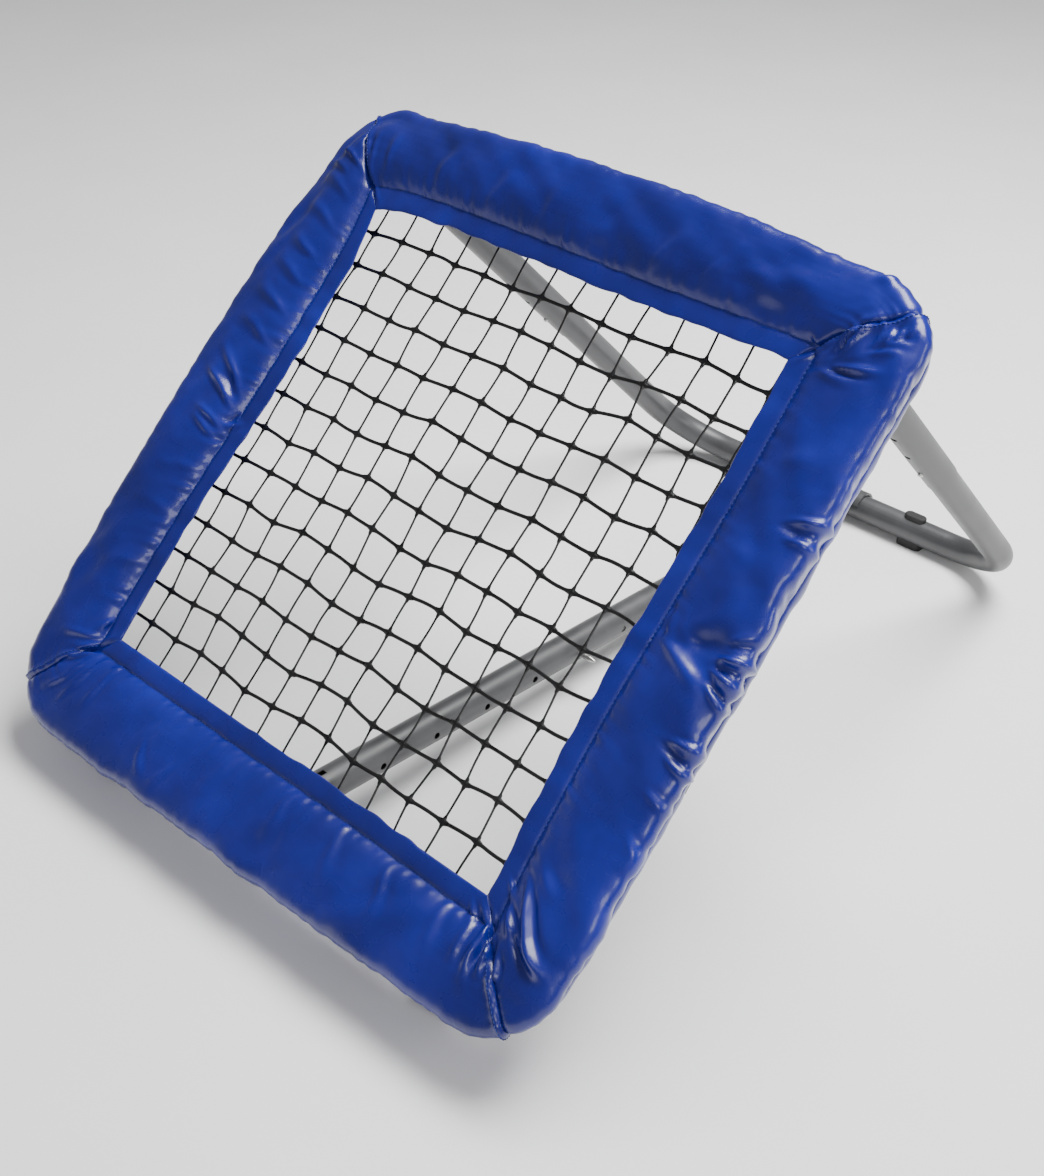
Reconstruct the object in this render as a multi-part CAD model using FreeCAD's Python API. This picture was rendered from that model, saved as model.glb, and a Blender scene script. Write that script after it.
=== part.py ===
import FreeCAD, Part
import math
import os

# Pitch back rebounder: a padded square net frame that leans back on a folding stand.
# Everything is drawn in the frame's own plane first: X across, Y up the frame, Z out of
# its face.  The last step tips it back onto the floor.  Millimetres, +Z up, +Y to the
# back, and the origin ends on the floor under the middle of the whole object.

V = FreeCAD.Vector
X_AXIS = V(1, 0, 0)
Z_AXIS = V(0, 0, 1)

# ---------------------------------------------------------------- driving dimensions
tilt = 46.0                 # lean of the frame above the floor, degrees
frame_half = 407.0          # middle of the net to the centre line of a frame tube
tube_d = 42.4               # frame tube and base tube
tube_wall = 1.5
corner_r = 60.0             # centre line radius of a corner elbow
spigot_length = 45.0        # part of an elbow that goes inside a straight tube
slip = 0.05                 # radial play between two tubes that slide together

net_cell = 50.0             # mesh of the net, middle to middle
net_shift = -3.0            # the net hangs a little to one side
net_air_side = 7.0          # least air between the net and a side tube
net_air_end = 30.0          # least air between the net and the top or bottom tube
strand_width = 3.4
strand_thick = 3.0
knot_r = 9.0                # rounding where two strands cross
tie_width = 6.0
tie_thick = 1.6
tie_play = 0.3
tie_air = 1.0               # least air between a tie and whatever else is on the tube

hem_width = 28.0            # flat strip along the inner edge of the cover
cover_inside = 72.0         # frame tube's centre line in to the inner edge of the cover
cover_outside = 73.0        # frame tube's centre line out to the outer edge of the cover
cover_corner_r = 100.0
cover_thick = 1.2
foam_thick = 20.0
foam_play = 0.4             # air between the foam and its cover
skirt_drop = 25.0           # how far the skirt hangs behind the middle of the tube
pad_gap = 4.2               # air between a frame tube and the pad on it
strap_width = 20.0
strap_inset = 11.0          # length of a strap that is sewn under the hem
strap_thick = 1.2
strap_from_corner_top = 207.0   # straps on the top and bottom pads, from the side tubes
strap_from_corner_side = 282.0  # straps on the side pads, from the top and bottom tubes

leg_inset = 70.0            # middle of a leg, in from the side tube of the frame
leg_length = 874.0          # hinge to the middle of the base tube
leg_outer_d = 45.0          # upper leg tubes and the outer strut tube
leg_outer_wall = 1.25
leg_outer_length = 434.0    # hinge to the lower end of an upper leg tube
base_bend_r = 120.0
base_insert = 106.0         # base tube inside an upper leg tube
leg_hole_d = 9.0
leg_hole_first = 249.0      # hinge to the first hole
leg_hole_pitch = 62.0
leg_hole_count = 3

pivot_behind = 54.0         # hinge line and strut pivot behind the frame's plane
hinge_inset = 11.0          # hinge line below the centre line of the top tube
strut_pivot_inset = 36.0    # strut pivot above the centre line of the bottom tube
lug_thick = 6.0
lug_r = 17.0
slot_play = 1.0             # air each side of a lug in its slotted tube
slot_past = 22.0            # slot beyond the pivot
tube_past_pivot = 17.0      # tube end in front of the pivot
bolt_d = 10.0
bolt_play = 0.06            # radial play on a bolt
bolt_head_af = 17.0
bolt_head_thick = 6.4
nut_thick = 8.0
washer_d = 20.0
washer_thick = 2.0
washer_play = 0.4
bushing_d = 16.0

strut_wall = 1.5
strut_outer_length = 720.0  # pivot to the rear end of the outer strut tube
strut_inner_start = 430.0   # pivot to the front end of the inner strut tube
strut_end_slope = 35.0      # the inner tube's rear end is cut back at this angle, degrees
strut_end_drop = 70.0       # height of that cut
strut_hole_d = 9.6
strut_hole_first = 101.0
strut_hole_pitch = 95.0
strut_hole_count = 6
lock_hole_index = 4         # hole that holds the locking pin
lock_pin_d = 9.0
lock_pin_reach = 28.0       # tip of the pin outside the outer tube
lock_leaf_thick = 2.0
lock_leaf_length = 70.0
saddle_play = 1.5           # air between the saddle and the base tube
saddle_thick = 4.0
saddle_half_length = 55.0
saddle_front_lift = 25.0    # front lip above the middle of the base tube, degrees
saddle_back_drop = 12.0     # back lip below the middle of the base tube, degrees

front_foot_inset = 51.0     # middle of a front foot, in from the end of the bottom tube
front_foot_height = 95.0    # floor to the middle of the bottom frame tube
front_foot_width = 50.0
front_foot_depth = 34.0
front_foot_wrap = 5.0
front_foot_reach = 8.0      # how far a foot wraps round the tube, past its middle
sole_extra = 6.0
sole_thick = 9.0
rear_foot_offset = 152.0
rear_foot_thick = 6.0       # rubber under the base tube
rear_foot_length = 44.0
rear_foot_depth = 32.0
rear_foot_rounding = 8.0
rear_cap_length = 38.0
rear_cap_depth = 18.0
rear_cap_height = 7.0
foot_stem_d = 8.0

past = 60.0                 # how far a cutting shape runs past what it cuts
screw_d = 4.8
screw_length = 9.0
screw_head_d = 9.0
screw_head_thick = 2.6

# ---------------------------------------------------------------- derived sizes
tube_r = tube_d / 2
tube_bore_r = tube_r - tube_wall
spigot_r = tube_bore_r - slip
straight_half = frame_half - corner_r
opening_half = frame_half - cover_inside
cover_half = frame_half + cover_outside
net_columns = int(2 * (frame_half - tube_r - net_air_side) / net_cell)
net_rows = int(2 * (frame_half - tube_r - net_air_end) / net_cell)
strap_offset_top = frame_half - strap_from_corner_top
strap_offset_side = frame_half - strap_from_corner_side
leg_offset = frame_half - leg_inset
hinge_up = frame_half - hinge_inset
strut_pivot_down = frame_half - strut_pivot_inset
front_foot_offset = straight_half - front_foot_inset
leg_r = leg_outer_d / 2
leg_bore_r = leg_r - leg_outer_wall
base_r = leg_bore_r - slip
base_bore_r = base_r - tube_wall
strut_r = leg_r
strut_bore_r = strut_r - strut_wall
inner_r = strut_bore_r - slip
inner_bore_r = inner_r - strut_wall
bolt_r = bolt_d / 2
bolt_hole_r = bolt_r + bolt_play

foam_bottom = tube_r + pad_gap
foam_top = foam_bottom + foam_thick
pad_under = foam_bottom - foam_play - cover_thick
pad_over = foam_top + foam_play + cover_thick
foam_inner = opening_half + hem_width + cover_thick + foam_play
foam_outer = cover_half - cover_thick - foam_play

cos_tilt = math.cos(math.radians(tilt))
sin_tilt = math.sin(math.radians(tilt))


def up_the_frame(y, z):
    """Height and depth on the tipped frame, turned into floor directions (back, up)."""
    return (y * cos_tilt - z * sin_tilt, y * sin_tilt + z * cos_tilt)


def in_the_frame(back, up):
    """Floor directions (back, up), turned into directions of the frame's plane."""
    return (back * cos_tilt + up * sin_tilt, -back * sin_tilt + up * cos_tilt)


# The floor, the hinge and the middle of the base tube, as seen from the net's middle.
bottom_back, bottom_up = up_the_frame(-frame_half, 0.0)
floor_up = bottom_up - front_foot_height
hinge_back, hinge_height = up_the_frame(hinge_up, -pivot_behind)
base_up = floor_up + rear_foot_thick + base_r
base_back = hinge_back + math.sqrt(leg_length ** 2 - (hinge_height - base_up) ** 2)
base_y, base_z = in_the_frame(base_back, base_up)

hinge = V(0, hinge_up, -pivot_behind)
pivot = V(0, -strut_pivot_down, -pivot_behind)
base_mid = V(0, base_y, base_z)
leg_dir = (base_mid - hinge).normalize()
leg_side = X_AXIS.cross(leg_dir).normalize()        # across a leg, away from the floor
strut_length = (base_mid - pivot).Length
strut_dir = (base_mid - pivot).normalize()
strut_up = strut_dir.cross(X_AXIS).normalize() * -1
down = V(0, *in_the_frame(0.0, -1.0))               # straight down, in the frame's plane
backwards = V(0, *in_the_frame(1.0, 0.0))
if strut_up.dot(down) > 0:
    strut_up = strut_up * -1
if leg_side.dot(down) > 0:
    leg_side = leg_side * -1


# ---------------------------------------------------------------- drawing helpers
def bar(start, end, radius):
    """Round bar between two points."""
    run = end - start
    return Part.makeCylinder(radius, run.Length, start, run)


def tube(start, end, radius, bore):
    """Open tube between two points."""
    return bar(start, end, radius).cut(bar(start, end, bore))


def block(low, high):
    """Box between its lowest and highest corners."""
    size = high - low
    return Part.makeBox(size.x, size.y, size.z, low)


def framed_block(origin, along, side, spans):
    """Box in axes of its own: spans are (low, high) along X, along `along`, along `side`."""
    (x0, x1), (a0, a1), (s0, s1) = spans
    corners = [origin + X_AXIS * x0 + along * a + side * s
               for a, s in ((a0, s0), (a1, s0), (a1, s1), (a0, s1))]
    face = Part.Face(Part.makePolygon(corners + [corners[0]]))
    return face.extrude(X_AXIS * (x1 - x0))


def joined(shapes):
    """One solid from overlapping or touching shapes."""
    whole = shapes[0]
    if len(shapes) > 1:
        whole = shapes[0].fuse(shapes[1:])
    return whole.removeSplitter()


def plate(points, thick_low, thick_high):
    """Flat plate with a straight-sided outline in the frame's plane."""
    ring = [V(x, y, thick_low) for x, y in points]
    face = Part.Face(Part.makePolygon(ring + [ring[0]]))
    return face.extrude(Z_AXIS * (thick_high - thick_low))


def rounded_square(half, radius, low, high):
    """Upright prism with a rounded square outline."""
    prism = block(V(-half, -half, low), V(half, half, high))
    return prism.makeFillet(radius, edges_along(prism, Z_AXIS))


def quarter(shape, turns):
    """The same shape turned about the middle of the frame by quarter turns."""
    copy = shape.copy()
    copy.rotate(V(0, 0, 0), Z_AXIS, 90.0 * turns)
    return copy


def mirrored(shape):
    """The same shape on the other side of the middle."""
    return shape.mirror(V(0, 0, 0), X_AXIS)


def hexagon(start, direction, across_flats, thick):
    """Hexagonal prism standing on a point."""
    corner = across_flats / math.sqrt(3)
    ring = [V(corner * math.cos(math.radians(a)), corner * math.sin(math.radians(a)), 0)
            for a in range(30, 390, 60)]
    prism = Part.Face(Part.makePolygon(ring + [ring[0]])).extrude(Z_AXIS * thick)
    prism.Placement = FreeCAD.Placement(start, FreeCAD.Rotation(Z_AXIS, direction))
    return prism


def edges_at(shape, point, direction):
    """Edges that lie in the plane through a point, square to a direction."""
    flat = []
    for edge in shape.Edges:
        ends = [vertex.Point for vertex in edge.Vertexes] + [edge.CenterOfMass]
        if all(abs((end - point).dot(direction)) < 0.01 for end in ends):
            flat.append(edge)
    return flat


def edges_along(shape, direction):
    """Straight edges that run in a direction."""
    found = []
    for edge in shape.Edges:
        if isinstance(edge.Curve, Part.Line):
            run = edge.Vertexes[-1].Point - edge.Vertexes[0].Point
            if abs(run.dot(direction)) > 0.99 * run.Length:
                found.append(edge)
    return found


def screw(seat, inwards):
    """Pan head screw with its head on the seat."""
    shank = bar(seat, seat + inwards * screw_length, screw_d / 2)
    crown = seat - inwards * screw_head_thick
    head = bar(crown, seat, screw_head_d / 2)
    head = head.makeFillet(screw_head_thick * 0.6, edges_at(head, crown, inwards))
    return joined([shank, head])


# ---------------------------------------------------------------- frame
def elbow_ends():
    """Where the top right elbow meets the top tube and the right tube."""
    return (V(straight_half, frame_half, 0), V(frame_half, straight_half, 0))


screw_inset = 20.0
screw_seats = [V(side * (straight_half - screw_inset), frame_half, -tube_r) for side in (-1, 1)]


def frame_tube(turns):
    """Straight tube of the frame; the top one, turned to its side."""
    shape = tube(V(-straight_half, frame_half, 0), V(straight_half, frame_half, 0),
                 tube_r, tube_bore_r)
    seats = list(screw_seats)
    if turns == 2:
        seats += [V(side * front_foot_offset, frame_half, -tube_r) for side in (-1, 1)]
    for seat in seats:
        shape = shape.cut(bar(seat - Z_AXIS, seat + Z_AXIS * screw_length, screw_d / 2))
    return quarter(shape, turns)


def corner_elbow(turns):
    """Quarter bend with a spigot at each end that goes inside the straight tubes."""
    centre = V(straight_half, straight_half, 0)
    first, second = elbow_ends()
    first_end = first - X_AXIS * spigot_length
    second_end = second - V(0, spigot_length, 0)
    bore_r = spigot_r - tube_wall
    solid = joined([Part.makeTorus(corner_r, tube_r, centre, Z_AXIS, 0, 360, 90),
                    bar(first, first_end, spigot_r), bar(second, second_end, spigot_r)])
    hollow = joined([Part.makeTorus(corner_r, bore_r, centre, Z_AXIS, 0, 360, 90),
                     bar(first, first_end, bore_r), bar(second, second_end, bore_r)])
    shape = solid.cut(hollow)
    holes = [screw_seats[1], V(frame_half, straight_half - screw_inset, -tube_r)]
    for seat in holes:
        shape = shape.cut(bar(seat - Z_AXIS, seat + Z_AXIS * screw_length, screw_d / 2))
    return quarter(shape, turns)


def frame_screws():
    """Two screws in each straight tube, from behind."""
    return [quarter(screw(seat, Z_AXIS), turns) for turns in range(4) for seat in screw_seats]


def lug(point, tube_y):
    """Plate welded to a frame tube, with the eye of a pivot at its end."""
    half = lug_thick / 2
    offset = X_AXIS * half
    eye = bar(point - offset, point + offset, lug_r)
    root = V(0, tube_y, 0)
    run = (root - point)
    along = V(run).normalize()
    side = X_AXIS.cross(along)
    neck = framed_block(point, along, side, ((-half, half), (0, run.Length), (-lug_r, lug_r)))
    shape = joined([eye, neck])
    shape = shape.cut(bar(root - offset * 2, root + offset * 2, tube_r))
    shape = shape.cut(framed_block(root, along, side, ((-half * 2, half * 2), (0, past), (-past, past))))
    return shape.cut(bar(point - offset * 2, point + offset * 2, bolt_hole_r))


def moved(shape, x):
    """The same shape further along X."""
    copy = shape.copy()
    copy.translate(X_AXIS * x)
    return copy


def pivot_bolt(point):
    """Hex bolt through a slotted tube end; its head is on the +X side."""
    outside = strut_r + washer_play + washer_thick
    end = outside + nut_thick + 3.0
    shank = bar(point - X_AXIS * end, point + X_AXIS * outside, bolt_r)
    head = hexagon(point + X_AXIS * outside, X_AXIS, bolt_head_af, bolt_head_thick)
    return joined([shank, head])


def pivot_nut(point):
    """Nut at the -X end of a pivot bolt."""
    outside = strut_r + washer_play + washer_thick
    shape = hexagon(point - X_AXIS * outside, X_AXIS * -1, bolt_head_af, nut_thick)
    return shape.cut(bar(point - X_AXIS * (outside + nut_thick + 1), point, bolt_r))


def pivot_washers(point):
    """Washer each side of a slotted tube end."""
    inside = strut_r + washer_play
    return [tube(point + X_AXIS * (side * inside),
                 point + X_AXIS * (side * (inside + washer_thick)),
                 washer_d / 2, bolt_hole_r) for side in (-1, 1)]


def pivot_bushings(point, bore):
    """Plastic sleeve each side of a lug, inside the slotted tube end."""
    start = lug_thick / 2 + 0.2
    end = math.sqrt(bore ** 2 - (bushing_d / 2) ** 2) - washer_play
    return [tube(point + X_AXIS * (side * start), point + X_AXIS * (side * end),
                 bushing_d / 2, bolt_hole_r) for side in (-1, 1)]


def slotted_end(shape, point, along, side):
    """Cut the slot and the bolt hole of a pivot into the end of a tube."""
    half = lug_thick / 2 + slot_play
    slot = framed_block(point, along, side,
                        ((-half, half), (-tube_past_pivot - 1, slot_past), (-past, past)))
    return shape.cut(slot).cut(bar(point - X_AXIS * past, point + X_AXIS * past, bolt_hole_r))


def front_foot():
    """Rubber foot that hangs from the bottom tube and stands flat on the floor."""
    root = V(0, -frame_half, 0)
    half = front_foot_width / 2
    wrap = bar(root - X_AXIS * half, root + X_AXIS * half, tube_r + front_foot_wrap)
    stem = framed_block(root, down, backwards,
                        ((-half, half), (0, front_foot_height),
                         (-front_foot_depth / 2, front_foot_depth / 2)))
    wide = half + sole_extra
    sole = framed_block(root, down, backwards,
                        ((-wide, wide), (front_foot_height - sole_thick, front_foot_height),
                         (-front_foot_depth / 2 - sole_extra, front_foot_depth / 2 + sole_extra)))
    sole = sole.makeFillet(sole_extra * 1.5, edges_along(sole, down))
    shape = joined([wrap, stem, sole])
    shape = shape.cut(bar(root - X_AXIS * past, root + X_AXIS * past, tube_r))
    open_side = block(V(-past, -frame_half - past, front_foot_reach),
                      V(past, -frame_half + past, past))
    seat = root - Z_AXIS * (tube_r + front_foot_wrap)
    shape = shape.cut(open_side)
    hole = bar(seat - Z_AXIS * past, seat + Z_AXIS * screw_length, screw_d / 2)
    well = bar(seat - Z_AXIS * past, seat, screw_head_d / 2 + 1.0)
    return shape.cut(hole).cut(well)


def foot_screw():
    """Screw that holds a front foot on the bottom tube."""
    return screw(V(0, -frame_half, -tube_r - front_foot_wrap), Z_AXIS)


# ---------------------------------------------------------------- net and its ties
def net():
    """Square mesh with rounded knots, one flat sheet of crossing strands."""
    width = net_columns * net_cell
    height = net_rows * net_cell
    left = net_shift - width / 2
    low = -height / 2
    edge = strand_width / 2
    sheet = block(V(left - edge, low - edge, -strand_thick / 2),
                  V(left + width + edge, low + height + edge, strand_thick / 2))
    hole = net_cell / 2 - edge
    outline = rounded_square(hole, knot_r, -strand_thick, strand_thick)
    holes = []
    for column in range(net_columns):
        for row in range(net_rows):
            opening = outline.copy()
            opening.translate(V(left + (column + 0.5) * net_cell, low + (row + 0.5) * net_cell, 0))
            holes.append(opening)
    return sheet.cut(Part.makeCompound(holes))


def tie(distance):
    """Closed loop round a tube at the origin and a net strand at -Y, drawn across X."""
    def belt(big, small):
        lean = math.asin((big - small) / distance)
        points = []
        for centre, radius in ((0.0, big), (-distance, small)):
            for side in (-1, 1):
                points.append(V(0, centre - radius * math.sin(lean),
                                side * radius * math.cos(lean)))
        big_low, big_high, small_low, small_high = points
        edges = [Part.Arc(big_high, V(0, big, 0), big_low).toShape(),
                 Part.LineSegment(big_low, small_low).toShape(),
                 Part.Arc(small_low, V(0, -distance - small, 0), small_high).toShape(),
                 Part.LineSegment(small_high, big_high).toShape()]
        face = Part.Face(Part.Wire(edges))
        face.translate(X_AXIS * (-tie_width / 2))
        return face.extrude(X_AXIS * tie_width)
    inner_big = tube_r + tie_play
    inner_small = math.hypot(strand_width, strand_thick) / 2 + tie_play
    return belt(inner_big + tie_thick, inner_small + tie_thick).cut(belt(inner_big, inner_small))


def free_for_tie(place, turns):
    """Whether a tie at this place on a tube clears the straps, screws, lugs and feet."""
    strap_at = strap_offset_top if turns % 2 == 0 else strap_offset_side
    others = [(strap_at, strap_width), (straight_half - screw_inset, screw_head_d)]
    if turns == 0:
        others.append((leg_offset, lug_thick))
    if turns == 2:
        others += [(front_foot_offset, front_foot_width), (0.0, lug_thick)]
    return all(abs(abs(place) - at) > (width + tie_width) / 2 + tie_air for at, width in others)


def tie_row(turns):
    """Ties of one side of the net; side 0 is the top, then left, bottom and right."""
    if turns % 2 == 0:
        reach = net_rows * net_cell / 2
        first = net_shift - net_columns * net_cell / 2 + net_cell / 2
        places = [first + 2 * net_cell * n for n in range((net_columns + 1) // 2)]
        if turns == 2:
            places = [-place for place in places]
    else:
        lean = -net_shift if turns == 1 else net_shift
        reach = net_columns * net_cell / 2 + lean
        half = net_rows // 2
        middle = 0.5 if net_rows % 2 == 0 else 0.0
        steps = [net_cell * (n + middle) for n in range(1, half, 2)]
        places = [-step for step in steps] + steps
    loop = tie(frame_half - reach)
    row = []
    for place in places:
        if free_for_tie(place, turns):
            copy = loop.copy()
            copy.translate(V(place, frame_half, 0))
            row.append(quarter(copy, turns))
    return row


# ---------------------------------------------------------------- pads
def mitred(inner, outer, low, high, turns):
    """One side of a square ring, cut at 45 degrees at both ends."""
    return quarter(plate([(-outer, outer), (outer, outer), (inner, inner), (-inner, inner)],
                         low, high), turns)


def foam_pad(turns):
    """Foam strip of one side."""
    strip = mitred(foam_inner, foam_outer, foam_bottom, foam_top, turns)
    edge = cover_corner_r - cover_thick - foam_play
    return strip.common(rounded_square(foam_outer, edge, foam_bottom - 1, foam_top + 1))


def cover_panel(turns):
    """Cover of one side: closed round the foam, hemmed inside, with a skirt outside."""
    hem_high = pad_under + 2 * cover_thick
    big = rounded_square(cover_half, cover_corner_r, -skirt_drop, pad_over)
    shell = big.cut(rounded_square(cover_half - cover_thick, cover_corner_r - cover_thick,
                                   -skirt_drop - 1, pad_under))
    room = rounded_square(foam_outer + foam_play, cover_corner_r - cover_thick,
                          foam_bottom - foam_play, foam_top + foam_play)
    inner_wall = opening_half + hem_width
    core = block(V(-inner_wall - cover_thick, -inner_wall - cover_thick, pad_under - 1),
                 V(inner_wall + cover_thick, inner_wall + cover_thick, pad_over + 1))
    shell = shell.cut(room.cut(core))
    above_hem = block(V(-inner_wall, -inner_wall, hem_high),
                      V(inner_wall, inner_wall, pad_over + 1))
    window = block(V(-opening_half, -opening_half, -skirt_drop - 1),
                   V(opening_half, opening_half, pad_over + 1))
    shell = shell.cut(above_hem).cut(window)
    wedge = mitred(1.0, cover_half + 1, -skirt_drop - 1, pad_over + 1, turns)
    return shell.common(wedge).removeSplitter()


def cover_straps(turns, offset):
    """Two straps of one side, from the hem round the back of the tube to the skirt."""
    back = -tube_r - 0.4
    under = pad_under
    route = [(opening_half + 2.0, under), (opening_half + strap_inset, under),
             (frame_half - tube_r - 6.0, back), (frame_half + tube_r - 6.0, back),
             (cover_half - cover_thick, -skirt_drop + 12.0)]
    outer = [V(0, y, z) for y, z in route]
    lower = [V(0, route[0][0], under - strap_thick),
             V(0, route[1][0] - strap_thick, under - strap_thick),
             V(0, route[2][0] - strap_thick, back - strap_thick),
             V(0, route[3][0], back - strap_thick),
             V(0, route[4][0], route[4][1] - strap_thick)]
    ring = outer + lower[::-1]
    band = Part.Face(Part.makePolygon(ring + [ring[0]])).extrude(X_AXIS * strap_width)
    return [quarter(moved(band, place - strap_width / 2), turns) for place in (-offset, offset)]


# ---------------------------------------------------------------- rear legs and base
leg_holes = [leg_hole_first + leg_hole_pitch * n for n in range(leg_hole_count)]


def on_leg(distance, x=0.0):
    """Point on the centre line of a leg, measured from the hinge."""
    return hinge + X_AXIS * x + leg_dir * distance


def upper_leg():
    """Upper leg tube with a slotted end and a row of setting holes on its underside."""
    shape = tube(on_leg(-tube_past_pivot), on_leg(leg_outer_length), leg_r, leg_bore_r)
    shape = slotted_end(shape, hinge, leg_dir, leg_side)
    for distance in leg_holes:
        point = on_leg(distance)
        shape = shape.cut(bar(point, point - leg_side * past, leg_hole_d / 2))
    return shape


def base_run(radius):
    """Solid run of the U: two legs, two bends and the bar on the floor."""
    top = leg_outer_length - base_insert
    bend_start = leg_length - base_bend_r
    flat = leg_offset - base_bend_r
    pieces = [bar(on_leg(top, leg_offset), on_leg(bend_start, leg_offset), radius),
              bar(base_mid - X_AXIS * flat, base_mid + X_AXIS * flat, radius)]
    bend = Part.makeTorus(base_bend_r, radius, V(0, 0, 0), Z_AXIS, 0, 360, 90)
    turn = FreeCAD.Matrix()
    normal = X_AXIS.cross(leg_dir)
    turn.A11, turn.A12, turn.A13 = X_AXIS.x, leg_dir.x, normal.x
    turn.A21, turn.A22, turn.A23 = X_AXIS.y, leg_dir.y, normal.y
    turn.A31, turn.A32, turn.A33 = X_AXIS.z, leg_dir.z, normal.z
    bend.Placement = FreeCAD.Placement(on_leg(bend_start, flat), FreeCAD.Rotation(turn))
    pieces.append(bend)
    return joined(pieces + [mirrored(pieces[0]), mirrored(bend)])


def base_tube():
    """U-shaped lower tube: its ends go up inside the upper leg tubes."""
    shape = base_run(base_r).cut(base_run(base_bore_r))
    point = on_leg(leg_holes[-1], leg_offset)
    hole = bar(point, point - leg_side * past, leg_hole_d / 2)
    shape = shape.cut(hole).cut(mirrored(hole))
    for side in (-1, 1):
        centre = base_mid + X_AXIS * (side * rear_foot_offset)
        shape = shape.cut(bar(centre - down * past, centre + down * past, foot_stem_d / 2))
    return shape


def leg_button():
    """Spring button in the last setting hole: a leaf in the tube and a domed stud."""
    point = on_leg(leg_holes[-1])
    stud_r = leg_hole_d / 2 - 0.3
    tip = leg_r + 3.5
    stud = bar(point - leg_side * (base_bore_r - 8.0), point - leg_side * tip, stud_r)
    stud = stud.makeFillet(stud_r * 0.8, edges_at(stud, point - leg_side * tip, leg_side))
    leaf = framed_block(point, leg_dir, leg_side,
                        ((-5, 5), (-25, 10), (-base_bore_r + 5.0, -base_bore_r + 7.0)))
    return joined([stud, leaf])


def rear_foot():
    """Rubber foot under the base tube, with a stem that goes up through it."""
    half = rear_foot_length / 2
    under = base_r + rear_foot_thick
    shape = framed_block(base_mid, down, backwards,
                         ((-half, half), (base_r * 0.45, under),
                          (-rear_foot_depth / 2, rear_foot_depth / 2)))
    shape = shape.makeFillet(rear_foot_rounding, edges_along(shape, down))
    shape = shape.cut(bar(base_mid - X_AXIS * past, base_mid + X_AXIS * past, base_r))
    stem_r = foot_stem_d / 2
    stem = bar(base_mid + down * (base_r + 2), base_mid - down * base_r, stem_r)
    return joined([shape, stem])


def rear_cap():
    """Oblong black cap on top of the base tube, on the foot's stem."""
    end = rear_cap_depth / 2
    half = rear_cap_length / 2 - end
    low = base_mid - down * (base_r * 0.8)
    high = base_mid - down * (base_r + rear_cap_height)
    parts = [bar(low + X_AXIS * x, high + X_AXIS * x, end) for x in (-half, half)]
    rise = (high - low).Length
    parts.append(framed_block(low, down * -1, backwards, ((-half, half), (0, rise), (-end, end))))
    shape = joined(parts)
    shape = shape.makeFillet(rear_cap_height * 0.35, edges_at(shape, high, down))
    shape = shape.cut(bar(base_mid - X_AXIS * past, base_mid + X_AXIS * past, base_r))
    return shape.cut(bar(base_mid, base_mid - down * base_r, foot_stem_d / 2))


# ---------------------------------------------------------------- strut
def on_strut(distance):
    """Point on the centre line of the strut, measured from its pivot."""
    return pivot + strut_dir * distance


lock_at = strut_hole_first + strut_hole_pitch * lock_hole_index


def strut_outer():
    """Outer strut tube, with a slotted front end and a row of setting holes."""
    shape = tube(on_strut(-tube_past_pivot), on_strut(strut_outer_length), strut_r, strut_bore_r)
    shape = slotted_end(shape, pivot, strut_dir, strut_up)
    for n in range(strut_hole_count):
        point = on_strut(strut_hole_first + strut_hole_pitch * n)
        shape = shape.cut(bar(point, point + X_AXIS * past, strut_hole_d / 2))
    return shape


def strut_inner():
    """Inner strut tube: its rear end is cut back so that it can lift off the base tube."""
    end = strut_length - base_r - saddle_play
    shape = tube(on_strut(strut_inner_start), on_strut(end), inner_r, inner_bore_r)
    point = on_strut(lock_at)
    shape = shape.cut(bar(point, point + X_AXIS * past, strut_hole_d / 2))
    reach = base_r + saddle_play + saddle_thick
    shape = shape.cut(bar(base_mid - X_AXIS * past, base_mid + X_AXIS * past, reach))
    lip = math.radians(saddle_front_lift)
    corner = base_mid - strut_dir * (reach * math.cos(lip)) + strut_up * (reach * math.sin(lip))
    slope = math.radians(strut_end_slope)
    drop = strut_end_drop
    far = corner - strut_up * drop - strut_dir * (drop * math.tan(slope))
    rear = strut_dir * (reach * 4)
    ring = [corner, far, far + rear, corner + rear]
    ring = [point - X_AXIS * past for point in ring]
    wedge = Part.Face(Part.makePolygon(ring + [ring[0]])).extrude(X_AXIS * (2 * past))
    return shape.cut(wedge)


def saddle():
    """Half-round saddle, welded to the inner tube, that hooks over the base tube."""
    inside = base_r + saddle_play
    outside = inside + saddle_thick
    start = base_mid - X_AXIS * saddle_half_length
    end = base_mid + X_AXIS * saddle_half_length
    ring = tube(start, end, outside, inside)
    big = 80.0
    front = math.radians(saddle_front_lift)
    back = math.radians(-saddle_back_drop)
    front_ray = strut_dir * (-math.cos(front)) + strut_up * math.sin(front)
    back_ray = strut_dir * math.cos(back) + strut_up * math.sin(back)
    points = [base_mid, base_mid + front_ray * big, base_mid - strut_dir * big - strut_up * big,
              base_mid + strut_dir * big - strut_up * big, base_mid + back_ray * big]
    points = [point - X_AXIS * big for point in points]
    gap = Part.Face(Part.makePolygon(points + [points[0]])).extrude(X_AXIS * (2 * big))
    return ring.cut(gap)


def lock_pin():
    """Spring pin: a leaf on the inner tube's far wall and a pointed pin out to the side."""
    point = on_strut(lock_at)
    wall = inner_bore_r - 3.0
    pin_r = lock_pin_d / 2
    shoulder = strut_r + lock_pin_reach * 0.6
    pin = bar(point - X_AXIS * (wall - lock_leaf_thick), point + X_AXIS * shoulder, pin_r)
    tip = Part.makeCone(pin_r, pin_r * 0.35, lock_pin_reach * 0.4, point + X_AXIS * shoulder,
                        X_AXIS)
    leaf = framed_block(point, strut_dir, strut_up,
                        ((-wall, -wall + lock_leaf_thick),
                         (-lock_leaf_length / 2, lock_leaf_length / 2), (-6, 6)))
    return joined([pin, tip, leaf])


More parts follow.
